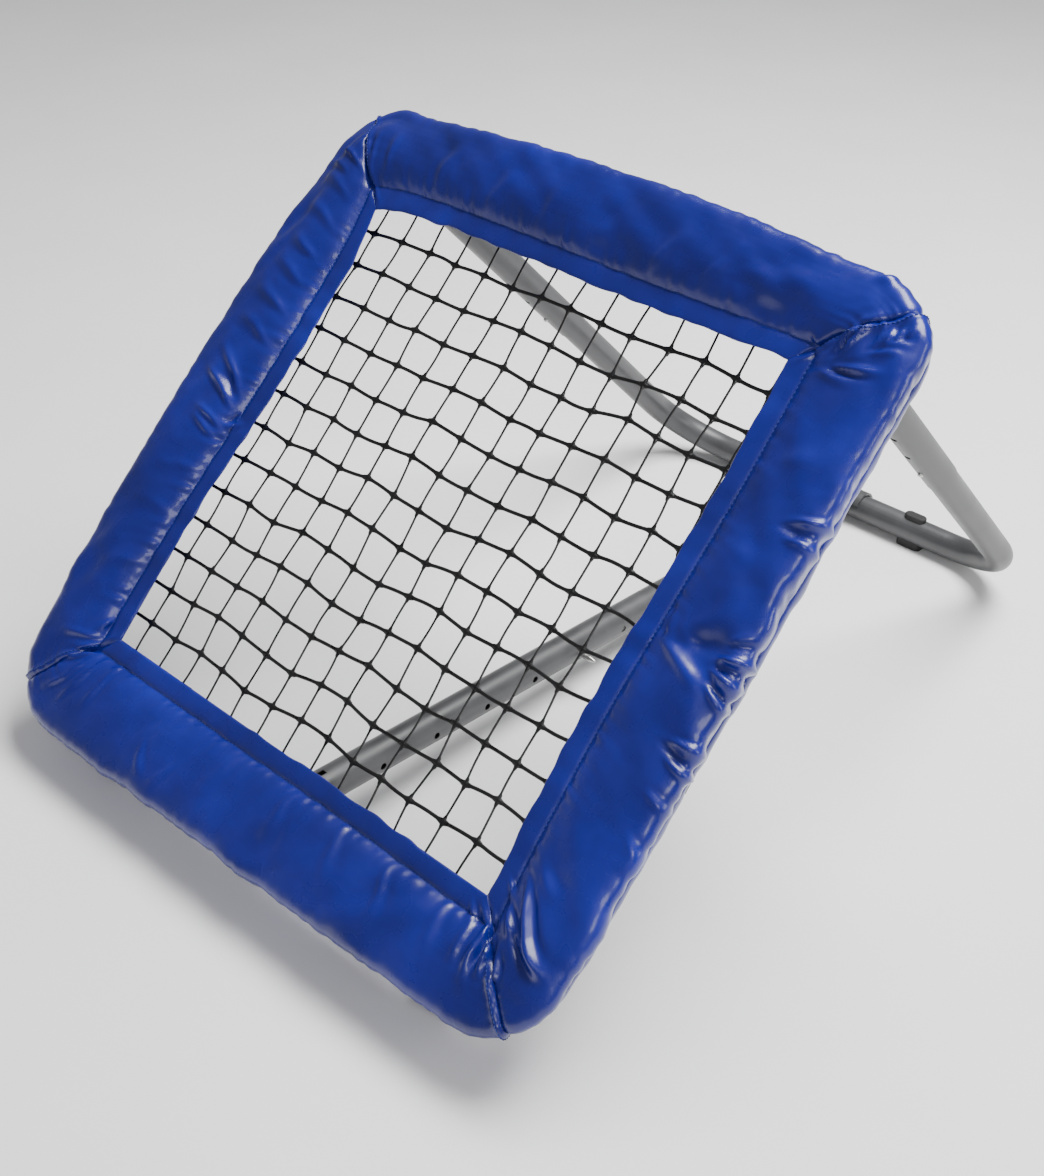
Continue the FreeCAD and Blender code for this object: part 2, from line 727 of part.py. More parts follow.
# ---------------------------------------------------------------- all pieces
SIDES = ("top", "left", "bottom", "right")
CORNERS = ("top_right", "top_left", "bottom_left", "bottom_right")

nodes = {}
for index, name in enumerate(SIDES):
    nodes["frame_tube_" + name] = [frame_tube(index)]
for index, name in enumerate(CORNERS):
    nodes["corner_elbow_" + name] = [corner_elbow(index)]
nodes["frame_screws"] = frame_screws()

hinge_lug = lug(hinge, frame_half)
nodes["hinge_lug_left"] = [moved(hinge_lug, -leg_offset)]
nodes["hinge_lug_right"] = [moved(hinge_lug, leg_offset)]
nodes["strut_lug"] = [lug(pivot, -frame_half)]
hinge_points = [hinge - X_AXIS * leg_offset, hinge + X_AXIS * leg_offset]
nodes["hinge_bolts"] = [pivot_bolt(point) for point in hinge_points]
nodes["hinge_nuts"] = [pivot_nut(point) for point in hinge_points]
nodes["hinge_washers"] = [part for point in hinge_points for part in pivot_washers(point)]
nodes["hinge_bushings"] = [part for point in hinge_points
                           for part in pivot_bushings(point, leg_bore_r)]
nodes["strut_bolt"] = [pivot_bolt(pivot)]
nodes["strut_nut"] = [pivot_nut(pivot)]
nodes["strut_washers"] = pivot_washers(pivot)
nodes["strut_bushings"] = pivot_bushings(pivot, strut_bore_r)

foot = front_foot()
nodes["front_foot_left"] = [moved(foot, -front_foot_offset)]
nodes["front_foot_right"] = [moved(foot, front_foot_offset)]
nodes["front_foot_screws"] = [moved(foot_screw(), side * front_foot_offset) for side in (-1, 1)]

nodes["net"] = [net()]
for index, name in enumerate(SIDES):
    nodes["net_ties_" + name] = tie_row(index)
    nodes["foam_" + name] = [foam_pad(index)]
    nodes["cover_" + name] = [cover_panel(index)]
    strap_offset = strap_offset_top if index % 2 == 0 else strap_offset_side
    nodes["cover_straps_" + name] = cover_straps(index, strap_offset)

nodes["leg_tube_left"] = [moved(upper_leg(), -leg_offset)]
nodes["leg_tube_right"] = [moved(upper_leg(), leg_offset)]
nodes["base_tube"] = [base_tube()]
nodes["leg_buttons"] = [moved(leg_button(), side * leg_offset) for side in (-1, 1)]
for side, name in ((-1, "left"), (1, "right")):
    nodes["rear_foot_" + name] = [moved(rear_foot(), side * rear_foot_offset)]
    nodes["rear_cap_" + name] = [moved(rear_cap(), side * rear_foot_offset)]

nodes["strut_outer"] = [strut_outer()]
nodes["strut_inner"] = [strut_inner()]
nodes["saddle"] = [saddle()]
nodes["lock_pin"] = [lock_pin()]

# ---------------------------------------------------------------- stand it up and write
front_back, front_up = up_the_frame(-cover_half, pad_over)
middle_back = (front_back + base_back + base_r) / 2
stand_up = FreeCAD.Placement(V(0, -middle_back, -floor_up), FreeCAD.Rotation(X_AXIS, tilt))

os.makedirs("parts", exist_ok=True)
for name, shapes in nodes.items():
    whole = Part.makeCompound(shapes) if len(shapes) > 1 else shapes[0]
    whole.Placement = stand_up.multiply(whole.Placement)
    whole.exportStep("parts/" + name + ".step")

for name, point in (("hinge", hinge), ("pivot", pivot), ("base_mid", base_mid),
                    ("lock_pin", on_strut(lock_at)),
                    ("front_foot", V(0, -frame_half, 0) + down * front_foot_height)):
    placed = stand_up.multVec(point)
    print(name, round(placed.x, 3), round(placed.y, 3), round(placed.z, 3))
turned = stand_up.Rotation
for name, direction in (("strut_dir", strut_dir), ("leg_dir", leg_dir)):
    placed = turned.multVec(direction)
    print(name, round(placed.x, 6), round(placed.y, 6), round(placed.z, 6))
print("nodes", len(nodes), "strut", round(strut_length, 1))
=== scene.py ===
import math

import bmesh
import bpy
import numpy as np
from mathutils import Matrix, Vector


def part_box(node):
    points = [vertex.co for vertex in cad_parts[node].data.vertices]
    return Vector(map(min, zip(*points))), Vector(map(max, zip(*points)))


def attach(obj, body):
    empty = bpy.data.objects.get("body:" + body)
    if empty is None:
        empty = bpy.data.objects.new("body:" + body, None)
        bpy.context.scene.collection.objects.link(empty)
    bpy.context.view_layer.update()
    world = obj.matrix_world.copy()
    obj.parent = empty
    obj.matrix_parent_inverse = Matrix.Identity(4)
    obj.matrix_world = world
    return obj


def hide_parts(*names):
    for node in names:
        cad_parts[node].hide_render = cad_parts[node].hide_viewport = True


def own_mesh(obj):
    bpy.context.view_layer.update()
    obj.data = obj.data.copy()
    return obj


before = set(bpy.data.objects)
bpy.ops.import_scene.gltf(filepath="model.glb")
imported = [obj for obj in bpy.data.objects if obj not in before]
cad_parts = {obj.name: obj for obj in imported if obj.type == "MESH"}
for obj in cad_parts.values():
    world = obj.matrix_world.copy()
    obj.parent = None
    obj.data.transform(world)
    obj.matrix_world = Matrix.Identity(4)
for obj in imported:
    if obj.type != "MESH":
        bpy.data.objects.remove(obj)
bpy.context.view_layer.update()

# The leaning frame has its own flat coordinates in millimetres: u to the right, v up the
# frame, w out of its face, with the middle of the net at the origin.
TILT = math.radians(46.0)
net_low, net_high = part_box("net")
NET_MIDDLE = (net_low + net_high) / 2
NET_SHIFT = -3.0            # millimetres by which the net hangs to one side
MM = 0.001


def to_world(points):
    """Points of the leaning frame, in millimetres, as points of the row frame in metres."""
    p = np.asarray(points, float) * MM
    c, s = math.cos(TILT), math.sin(TILT)
    return np.stack([p[..., 0] + NET_MIDDLE.x - NET_SHIFT * MM,
                     p[..., 1] * c - p[..., 2] * s + NET_MIDDLE.y,
                     p[..., 1] * s + p[..., 2] * c + NET_MIDDLE.z], -1)


# ---------------------------------------------------------------- sizes, millimetres
CELL = 50.0
COLUMNS = 15
ROWS = 14
OUTER = 480.0
CORNER_START = 380.0        # rings further out than this have rounded corners
SEAM_W = 9.0                # height of the seam in the skirt
COVER_THICK = 1.2


# ---------------------------------------------------------------- camera
def look_from(place, forward, up):
    """Rotation of a camera at place that looks along forward with its top towards up."""
    z = -Vector(forward).normalized()
    y = Vector(up).normalized()
    x = y.cross(z).normalized()
    y = z.cross(x).normalized()
    turn = Matrix((x, y, z)).transposed().to_4x4()
    turn.translation = Vector(place)
    return turn


camera = bpy.data.objects.new("camera", bpy.data.cameras.new("camera"))
bpy.context.scene.collection.objects.link(camera)
camera.data.lens = 50.27
camera.data.sensor_width = 36.0
camera.data.clip_end = 60.0
camera.matrix_world = look_from((1.2286, -1.4887, 1.4367), (-0.5589, 0.6137, -0.5576),
                                (-0.3960, 0.3933, 0.8298))
bpy.context.scene.camera = camera


# ---------------------------------------------------------------- materials
def new_material(name, **shader_values):
    """Material with its node tree and its Principled shader."""
    material = bpy.data.materials.new(name)
    material.use_nodes = True
    tree = material.node_tree
    shader = tree.nodes["Principled BSDF"]
    for socket, value in shader_values.items():
        shader.inputs[socket.replace("_", " ")].default_value = value
    return material, tree, shader


def node(tree, kind, inputs=(), **settings):
    """New node; inputs maps a socket to a value or to another node's output."""
    made = tree.nodes.new(kind)
    for name, value in settings.items():
        setattr(made, name, value)
    for socket, value in dict(inputs).items():
        if isinstance(value, bpy.types.NodeSocket):
            tree.links.new(value, made.inputs[socket])
        else:
            made.inputs[socket].default_value = value
    return made


def object_space(tree, turned=False):
    """Object coordinates in metres, turned into the leaning frame's own axes if asked."""
    coordinate = node(tree, "ShaderNodeTexCoord").outputs["Object"]
    if not turned:
        return coordinate
    mapping = node(tree, "ShaderNodeMapping", {"Vector": coordinate, "Rotation": (-TILT, 0, 0)})
    return mapping.outputs["Vector"]


def noise(tree, vector, scale, detail=3.0, roughness=0.5):
    made = node(tree, "ShaderNodeTexNoise", {"Vector": vector, "Scale": scale, "Detail": detail,
                                             "Roughness": roughness})
    return made.outputs["Fac"]


def ramp(tree, factor, stops):
    """Colour ramp with stops of (place, colour)."""
    made = node(tree, "ShaderNodeValToRGB", {"Fac": factor})
    elements = made.color_ramp.elements
    while len(elements) < len(stops):
        elements.new(0.5)
    for element, (place, colour) in zip(elements, stops):
        element.position = place
        element.color = (*colour, 1.0) if len(colour) == 3 else colour
    return made.outputs["Color"]


def spread(tree, value, low, high, to_low, to_high):
    made = node(tree, "ShaderNodeMapRange", {"Value": value, "From Min": low, "From Max": high,
                                             "To Min": to_low, "To Max": to_high})
    return made.outputs["Result"]


def bump(tree, shader, layers):
    """Chain of bump nodes from (height, depth in metres, strength)."""
    normal = None
    for height, depth, strength in layers:
        made = node(tree, "ShaderNodeBump", {"Height": height, "Distance": depth,
                                             "Strength": strength})
        if normal is not None:
            tree.links.new(normal, made.inputs["Normal"])
        normal = made.outputs["Normal"]
    tree.links.new(normal, shader.inputs["Normal"])


def weave(tree, vector, pitch):
    """Height of a plain weave whose threads lie along the frame's sides."""
    heights = []
    for direction in ("X", "Y"):
        wave = node(tree, "ShaderNodeTexWave", {"Vector": vector, "Scale": math.pi / 10 / pitch,
                                                "Distortion": 0.6, "Detail": 1.0,
                                                "Detail Scale": 0.4},
                    bands_direction=direction)
        heights.append(wave.outputs["Fac"])
    made = node(tree, "ShaderNodeMath", {0: heights[0], 1: heights[1]}, operation="MULTIPLY")
    return made.outputs["Value"]


def vinyl_material():
    """Coated fabric: deep blue, glossy, with a fine weave under the coat."""
    material, tree, shader = new_material("blue_vinyl", Coat_Weight=0.28, Coat_Roughness=0.12,
                                          Specular_IOR_Level=0.4)
    space = object_space(tree, turned=True)
    patches = noise(tree, space, 7.0, 4.0, 0.55)
    grain = noise(tree, space, 900.0, 2.0)
    threads = weave(tree, space, 0.0011)
    colour = ramp(tree, patches, ((0.25, (0.004, 0.0068, 0.115)), (0.55, (0.0062, 0.0102, 0.185)),
                                  (0.8, (0.011, 0.0175, 0.28))))
    tree.links.new(colour, shader.inputs["Base Color"])
    tree.links.new(spread(tree, noise(tree, space, 22.0, 4.0), 0.3, 0.7, 0.22, 0.36),
                   shader.inputs["Roughness"])
    bump(tree, shader, ((noise(tree, space, 40.0, 2.0), 0.0012, 0.35),
                        (threads, 0.0002, 0.35), (grain, 0.0002, 0.25)))
    return material


def coat_material(name, colour, depth=0.00012):
    """Satin powder coat: orange-peel skin, faint clouding and darker rubbed specks."""
    material, tree, shader = new_material(name, Metallic=0.1, Coat_Weight=0.08,
                                          Coat_Roughness=0.3)
    space = object_space(tree)
    clouds = noise(tree, space, 14.0, 5.0, 0.6)
    specks = noise(tree, space, 210.0, 4.0, 0.7)
    dark = tuple(0.72 * c for c in colour)
    light = tuple(1.15 * c for c in colour)
    base = ramp(tree, clouds, ((0.3, dark), (0.55, colour), (0.75, light)))
    rub = ramp(tree, specks, ((0.70, (1.0, 1.0, 1.0)), (0.78, (0.55, 0.55, 0.55))))
    mixed = node(tree, "ShaderNodeMix", {"Factor": 1.0, "A": base, "B": rub},
                 data_type="RGBA", blend_type="MULTIPLY")
    tree.links.new(mixed.outputs[2], shader.inputs["Base Color"])
    tree.links.new(spread(tree, clouds, 0.3, 0.7, 0.34, 0.5), shader.inputs["Roughness"])
    bump(tree, shader, ((noise(tree, space, 330.0, 2.0), depth, 0.4),
                        (specks, depth, 0.3)))
    return material


def zinc_material():
    """Bright zinc plate with fine brushed marks."""
    material, tree, shader = new_material("zinc_plate", Metallic=1.0)
    space = object_space(tree)
    stretched = node(tree, "ShaderNodeMapping", {"Vector": space, "Scale": (1, 1, 14)})
    marks = noise(tree, stretched.outputs["Vector"], 260.0, 4.0, 0.6)
    tree.links.new(ramp(tree, marks, ((0.3, (0.36, 0.36, 0.35)), (0.7, (0.62, 0.62, 0.6)))),
                   shader.inputs["Base Color"])
    tree.links.new(spread(tree, marks, 0.3, 0.7, 0.22, 0.42), shader.inputs["Roughness"])
    bump(tree, shader, ((marks, 0.00006, 0.4),))
    return material


def dark_material(name, colour, rough_low, rough_high, scale, depth, coat=0.0):
    """Black plastic, rubber or thread with a moulded or spun grain."""
    material, tree, shader = new_material(name, Coat_Weight=coat, Coat_Roughness=0.25)
    space = object_space(tree)
    wide = noise(tree, space, scale * 0.08, 4.0, 0.6)
    fine = noise(tree, space, scale, 3.0, 0.6)
    pale = tuple(1.9 * c for c in colour)
    tree.links.new(ramp(tree, wide, ((0.35, colour), (0.7, pale))),
                   shader.inputs["Base Color"])
    tree.links.new(spread(tree, wide, 0.3, 0.7, rough_low, rough_high),
                   shader.inputs["Roughness"])
    bump(tree, shader, ((fine, depth, 0.5),))
    return material


def webbing_material():
    """Black elastic webbing with a coarse rib weave."""
    material, tree, shader = new_material("elastic_webbing", Roughness=0.85)
    space = object_space(tree, turned=True)
    threads = weave(tree, space, 0.0018)
    colour = ramp(tree, threads, ((0.1, (0.006, 0.006, 0.008)), (0.8, (0.035, 0.035, 0.04))))
    tree.links.new(colour, shader.inputs["Base Color"])
    bump(tree, shader, ((threads, 0.0006, 0.8), (noise(tree, space, 700.0), 0.0002, 0.4)))
    return material


def floor_material():
    material, tree, shader = new_material("studio_floor", Roughness=0.9)
    space = object_space(tree)
    tree.links.new(ramp(tree, noise(tree, space, 3.0, 4.0),
                        ((0.3, (0.86, 0.86, 0.86)), (0.7, (0.9, 0.9, 0.9)))),
                   shader.inputs["Base Color"])
    return material


VINYL = vinyl_material()
STEEL = coat_material("grey_powder_coat", (0.064, 0.065, 0.068))
ZINC = zinc_material()
RUBBER = dark_material("moulded_rubber", (0.012, 0.012, 0.012), 0.6, 0.85, 900.0, 0.0003)
NYLON = dark_material("black_nylon", (0.012, 0.012, 0.014), 0.35, 0.55, 600.0, 0.0001)
NET = dark_material("extruded_mesh", (0.003, 0.003, 0.0035), 0.22, 0.4, 400.0, 0.0003, coat=0.1)
THREAD = dark_material("blue_thread", (0.006, 0.016, 0.13), 0.5, 0.7, 1500.0, 0.0002)
WEBBING = webbing_material()

BY_SLOT = {"frame_steel": STEEL, "zinc_fastener": ZINC, "black_rubber": RUBBER,
           "black_nylon": NYLON, "net_plastic": NET, "blue_vinyl": VINYL, "foam": NYLON,
           "webbing": WEBBING}


def dress_cad():
    """Gives every carried-over CAD node the material of its slot."""
    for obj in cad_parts.values():
        slot_name = next((s for s in BY_SLOT if any(s in (m.name if m else "")
                          for m in obj.data.materials)), None)
        material = BY_SLOT.get(slot_name, STEEL)
        obj.data.materials.clear()
        obj.data.materials.append(material)


dress_cad()


# ---------------------------------------------------------------- mesh helpers
def make_object(name, vertices, faces, material, smooth=True):
    mesh = bpy.data.meshes.new(name)
    mesh.from_pydata(np.asarray(vertices, float).reshape(-1, 3).tolist(), [],
                     np.asarray(faces, int).tolist() if not isinstance(faces, list) else faces)
    mesh.materials.append(material)
    mesh.polygons.foreach_set("use_smooth", [smooth] * len(mesh.polygons))
    mesh.update()
    obj = bpy.data.objects.new(name, mesh)
    bpy.context.scene.collection.objects.link(obj)
    return obj


def flat_mesh(obj):
    """Replaces an object's mesh by its evaluated one, without modifiers."""
    graph = bpy.context.evaluated_depsgraph_get()
    mesh = bpy.data.meshes.new_from_object(obj.evaluated_get(graph))
    obj.modifiers.clear()
    obj.data = mesh
    return obj


def grid_faces(rows, columns, start=0):
    """Quads of a rows by columns grid of vertices."""
    i, j = np.meshgrid(np.arange(rows - 1), np.arange(columns - 1), indexing="ij")
    a = (i * columns + j).ravel() + start
    return np.stack([a, a + 1, a + columns + 1, a + columns], 1)


def grid_normals(points, closed):
    """Unit normals of a grid whose first axis is the profile and second runs clockwise."""
    along = (np.roll(points, -1, 1) - np.roll(points, 1, 1)) if closed else np.gradient(points,
                                                                                       axis=1)
    across = np.gradient(points, axis=0)
    normal = np.cross(along, across)
    return normal / np.maximum(np.linalg.norm(normal, axis=-1, keepdims=True), 1e-12)


def closed_sheet(points, normals, thickness, start=0):
    """Vertices and faces of a closed shell, with its thickness behind a grid of points."""
    rows, columns = points.shape[:2]
    count = rows * columns
    inner = points - normals * thickness
    index = np.arange(count).reshape(rows, columns)
    rim = np.concatenate([index[0, ::-1], index[1:, 0], index[-1, 1:], index[-2:0:-1, -1]])
    after = np.roll(rim, -1)
    faces = [grid_faces(rows, columns, start),
             grid_faces(rows, columns, start + count)[:, ::-1],
             np.stack([rim, after, after + count, rim + count], 1) + start]
    vertices = np.concatenate([points.reshape(-1, 3), inner.reshape(-1, 3)])
    return vertices, np.concatenate(faces)


def thick_panel(name, points, normals, thickness, material):
    """Object of one closed shell in the leaning frame."""
    vertices, faces = closed_sheet(points, normals, thickness)
    return make_object(name, to_world(vertices), faces, material)


def refine(grid, axis, closed):
    """Doubles a grid along one axis, with cubic middles."""
    g = np.moveaxis(grid, axis, 0)
    if closed:
        before, after, last = np.roll(g, 1, 0), np.roll(g, -1, 0), np.roll(g, -2, 0)
        middle = (9 * (g + after) - before - last) / 16
        out = np.empty((2 * len(g), *g.shape[1:]))
        out[0::2], out[1::2] = g, middle
    else:
        padded = np.concatenate([[2 * g[0] - g[1]], g, [2 * g[-1] - g[-2]]])
        middle = (9 * (padded[1:-2] + padded[2:-1]) - padded[:-3] - padded[3:]) / 16
        out = np.empty((2 * len(g) - 1, *g.shape[1:]))
        out[0::2], out[1::2] = g, middle
    return np.moveaxis(out, 0, axis)


def smooth_step(x, low, high):
    t = np.clip((x - low) / (high - low), 0, 1)
    return t * t * (3 - 2 * t)


def waves(x, seed, lengths):
    """Smooth repeatable unevenness from -1 to 1 along x, from sines of the given lengths."""
    pick = np.random.default_rng(seed)
    total = np.zeros_like(np.asarray(x, float))
    for length in lengths:
        for stretch in (0.83, 1.0, 1.27):
            total += np.sin(2 * math.pi * x / (length * stretch) + pick.uniform(0, 2 * math.pi))
    return total / (1.9 * len(lengths))


# ---------------------------------------------------------------- cover
SIDES = ("top", "right", "bottom", "left")
TURN = {"top": (1, 0, 0, 1), "right": (0, 1, -1, 0), "bottom": (-1, 0, 0, -1),
        "left": (0, -1, 1, 0)}      # u from (along, out), v from (along, out)

HEM_SEAM = (361.4, 25.6)    # the stitch line along the hem, in the section below
SKIRT_SEAM = (478.9, SEAM_W)
SKIRT_CURL = 9.0            # the lower edge of the skirt turns in under the tubes
LINING_THICK = 0.8
STITCH_PITCH = 6.0
MITRE_PITCH = 5.0
STITCH_LENGTH = 4.2
STITCH_RADIUS = 0.55
STRAP_THICK = 1.1
STRAP_HALF = 10.0           # half the width of a strap
STRAP_OFFSET = {"top": 200.0, "right": 125.0, "bottom": 200.0, "left": 125.0}
CLOTH_FRAMES = 16
CLOTH_LIMIT = 5.5           # the cloth run moves no point further than this

# Section of the cover from the underside of the hem, over the pad and down the skirt, as
# (distance from the middle of the net, height above the net).
SECTION = ((344, 23.9), (339, 23.6), (335.6, 23.7), (334.6, 24.9), (335.6, 26.1), (341, 26.9),
           (350, 27.3), (357, 26.9), (360.2, 25.9), (361.4, 25.6), (362.6, 26.6), (365.5, 29.6),
           (370.5, 33.6), (378, 37.6), (387, 41.0), (398, 43.8), (411, 46.0), (425, 47.6),
           (440, 48.5), (453, 48.6), (463, 48.0), (470.5, 46.6), (476.2, 43.9), (479.9, 39.2),
           (481.8, 33.0), (482.6, 26), (483.0, 18.5), (482.8, 13.2), (480.8, 10.6),
           (478.9, 9.0), (480.6, 7.4), (482.4, 5.0), (482.8, 0.0), (482.6, -6.0),
           (482.2, -12.0), (481.6, -17.0), (480.8, -21.0), (478.8, -24.2), (475.5, -25.8),
           (471.0, -26.2), (466.0, -25.4), (463.0, -23.0))
ALONG = 132                 # grid lines along one side, before refining
LINING_INSIDE = 3.0         # the lining ends this far inside the skirt

# How far the sewn cover stands in or out of its true square, clockwise along each side at
# the share of the side in PLACES: at its upper outer edge, in its skirt, and at the hem.
PLACES = (0.0, 0.105, 0.235, 0.37, 0.5, 0.63, 0.765, 0.895)
UPPER = ((-25, -25, -14, -9, -7, -7, -12, -17), (-9, 0, 0, 0, 0, 0, 0, -2),
         (-8, -8, -5, 0, 1, 4, 8, 7), (-5, -10, -8, -11, -13, -17, -23, -30))
SKIRT = ((-27, -22, -11, -6, -5, -6, -9, -14), (-14, -12, -9, -9, -10, -14, -15, -18),
         (-19, -11, -3, 2, 3, 6, 10, 9), (0, -5, -5, -7, -10, -14, -20, -26))
DROOP = ((22, 12, 5, 2, 1, 1, 2, 4), (5, 0, 0, 0, 0, 0, 0, 1),
         (4, 2, 1, 0, 0, 0, 0, 1), (5, 3, 2, 2, 3, 5, 8, 13))
SLEW = ((24, 11, 0, 0, 0, 0, 0, 9), (18, 7, 0, 0, 0, 0, 0, 0),
        (0, 0, 0, 0, 0, 0, 0, -5), (-12, -5, 0, 0, 0, 0, 0, 12))
HEM = ((-12, 0, 1, 1, 0, -2, -1, 0), (0, 1, 2, -1, -4, -8, -6, -4),
       (3, 3, 1, 0, 1, 3, 3, 4), (4, 3, 1, -4, -14, -18, -22, -24))


def on_side(side, along, out, w):
    """Points of the leaning frame from distances along one side and out from the middle."""
    a, b, c, d = TURN[side]
    return np.stack([a * along + b * out, c * along + d * out,
                     np.broadcast_to(w, along.shape)], -1)


def nearest_row(section, seam):
    """Number of the row of the section that lies on a stitch line."""
    return int(np.argmin(np.hypot(section[:, 0] - seam[0], section[:, 1] - seam[1])))


def resample_section():
    """Section with rows about 6.5 mm apart or less, and a row on each of its own points."""
    points = np.array(SECTION, float)
    rows = [points[0]]
    for a, b in zip(points[:-1], points[1:]):
        parts = max(1, int(round(np.linalg.norm(b - a) / 6.5)))
        rows += [a + (b - a) * (n + 1) / parts for n in range(parts)]
    return np.array(rows)


def ring_points(section):
    """Grid of points of the whole cover: rows along the section, columns clockwise."""
    r, w = section[:, :1], section[:, 1:]
    rho = np.maximum(0.0, r - CORNER_START)
    straight = r - rho
    t = np.arange(ALONG) / ALONG
    run = (2 * straight + math.pi / 2 * rho) * (t - 0.5)
    past = np.maximum(np.abs(run) - straight, 0.0)
    angle = np.where(rho > 0, past / np.maximum(rho, 1e-9), 0.0)
    along = np.sign(run) * (np.minimum(np.abs(run), straight) + rho * np.sin(angle))
    out = straight + rho * np.cos(angle)
    grid = np.concatenate([on_side(side, along, out, w) for side in SIDES], 1)
    true = grid.copy()
    stretch = np.maximum(np.abs(grid[..., 0]), np.abs(grid[..., 1]))
    upper, skirt, hem, droop, slew = (even_out(table)
                                      for table in (UPPER, SKIRT, HEM, DROOP, SLEW))
    low = smooth_step(-w, -40.0, 0.0)
    shift = (smooth_step(r, 396.0, 474.0) * ((1 - low) * upper + low * skirt)
             + (1 - smooth_step(r, 345.0, 440.0)) * hem)
    shift = shift - SKIRT_CURL * smooth_step(-w, 0.0, 26.0) * smooth_step(r, 440, 470)
    grid[..., :2] *= (1 + shift / stretch)[..., None]
    turn = slew * smooth_step(r, 361.0, 462.0) / np.hypot(grid[..., 0], grid[..., 1])
    grid[..., :2] += np.stack([grid[..., 1], -grid[..., 0]], -1) * turn[..., None]
    grid[..., 2] -= droop * smooth_step(r, 388.0, 468.0) * smooth_step(w, -5.0, 30.0)
    return grid, true


def even_out(table):
    """Values for each column of the ring from a table of four sides, smoothly joined."""
    places = np.concatenate([np.array(PLACES) + n for n in range(4)])
    values = np.concatenate([np.array(row, float) for row in table])
    t = np.arange(4 * ALONG) / ALONG
    line = np.interp(t, np.append(places, 4.0), np.append(values, values[0]))
    for _ in range(60):
        line = (np.roll(line, 1) + 2 * line + np.roll(line, -1)) / 4
    return line[None, :]


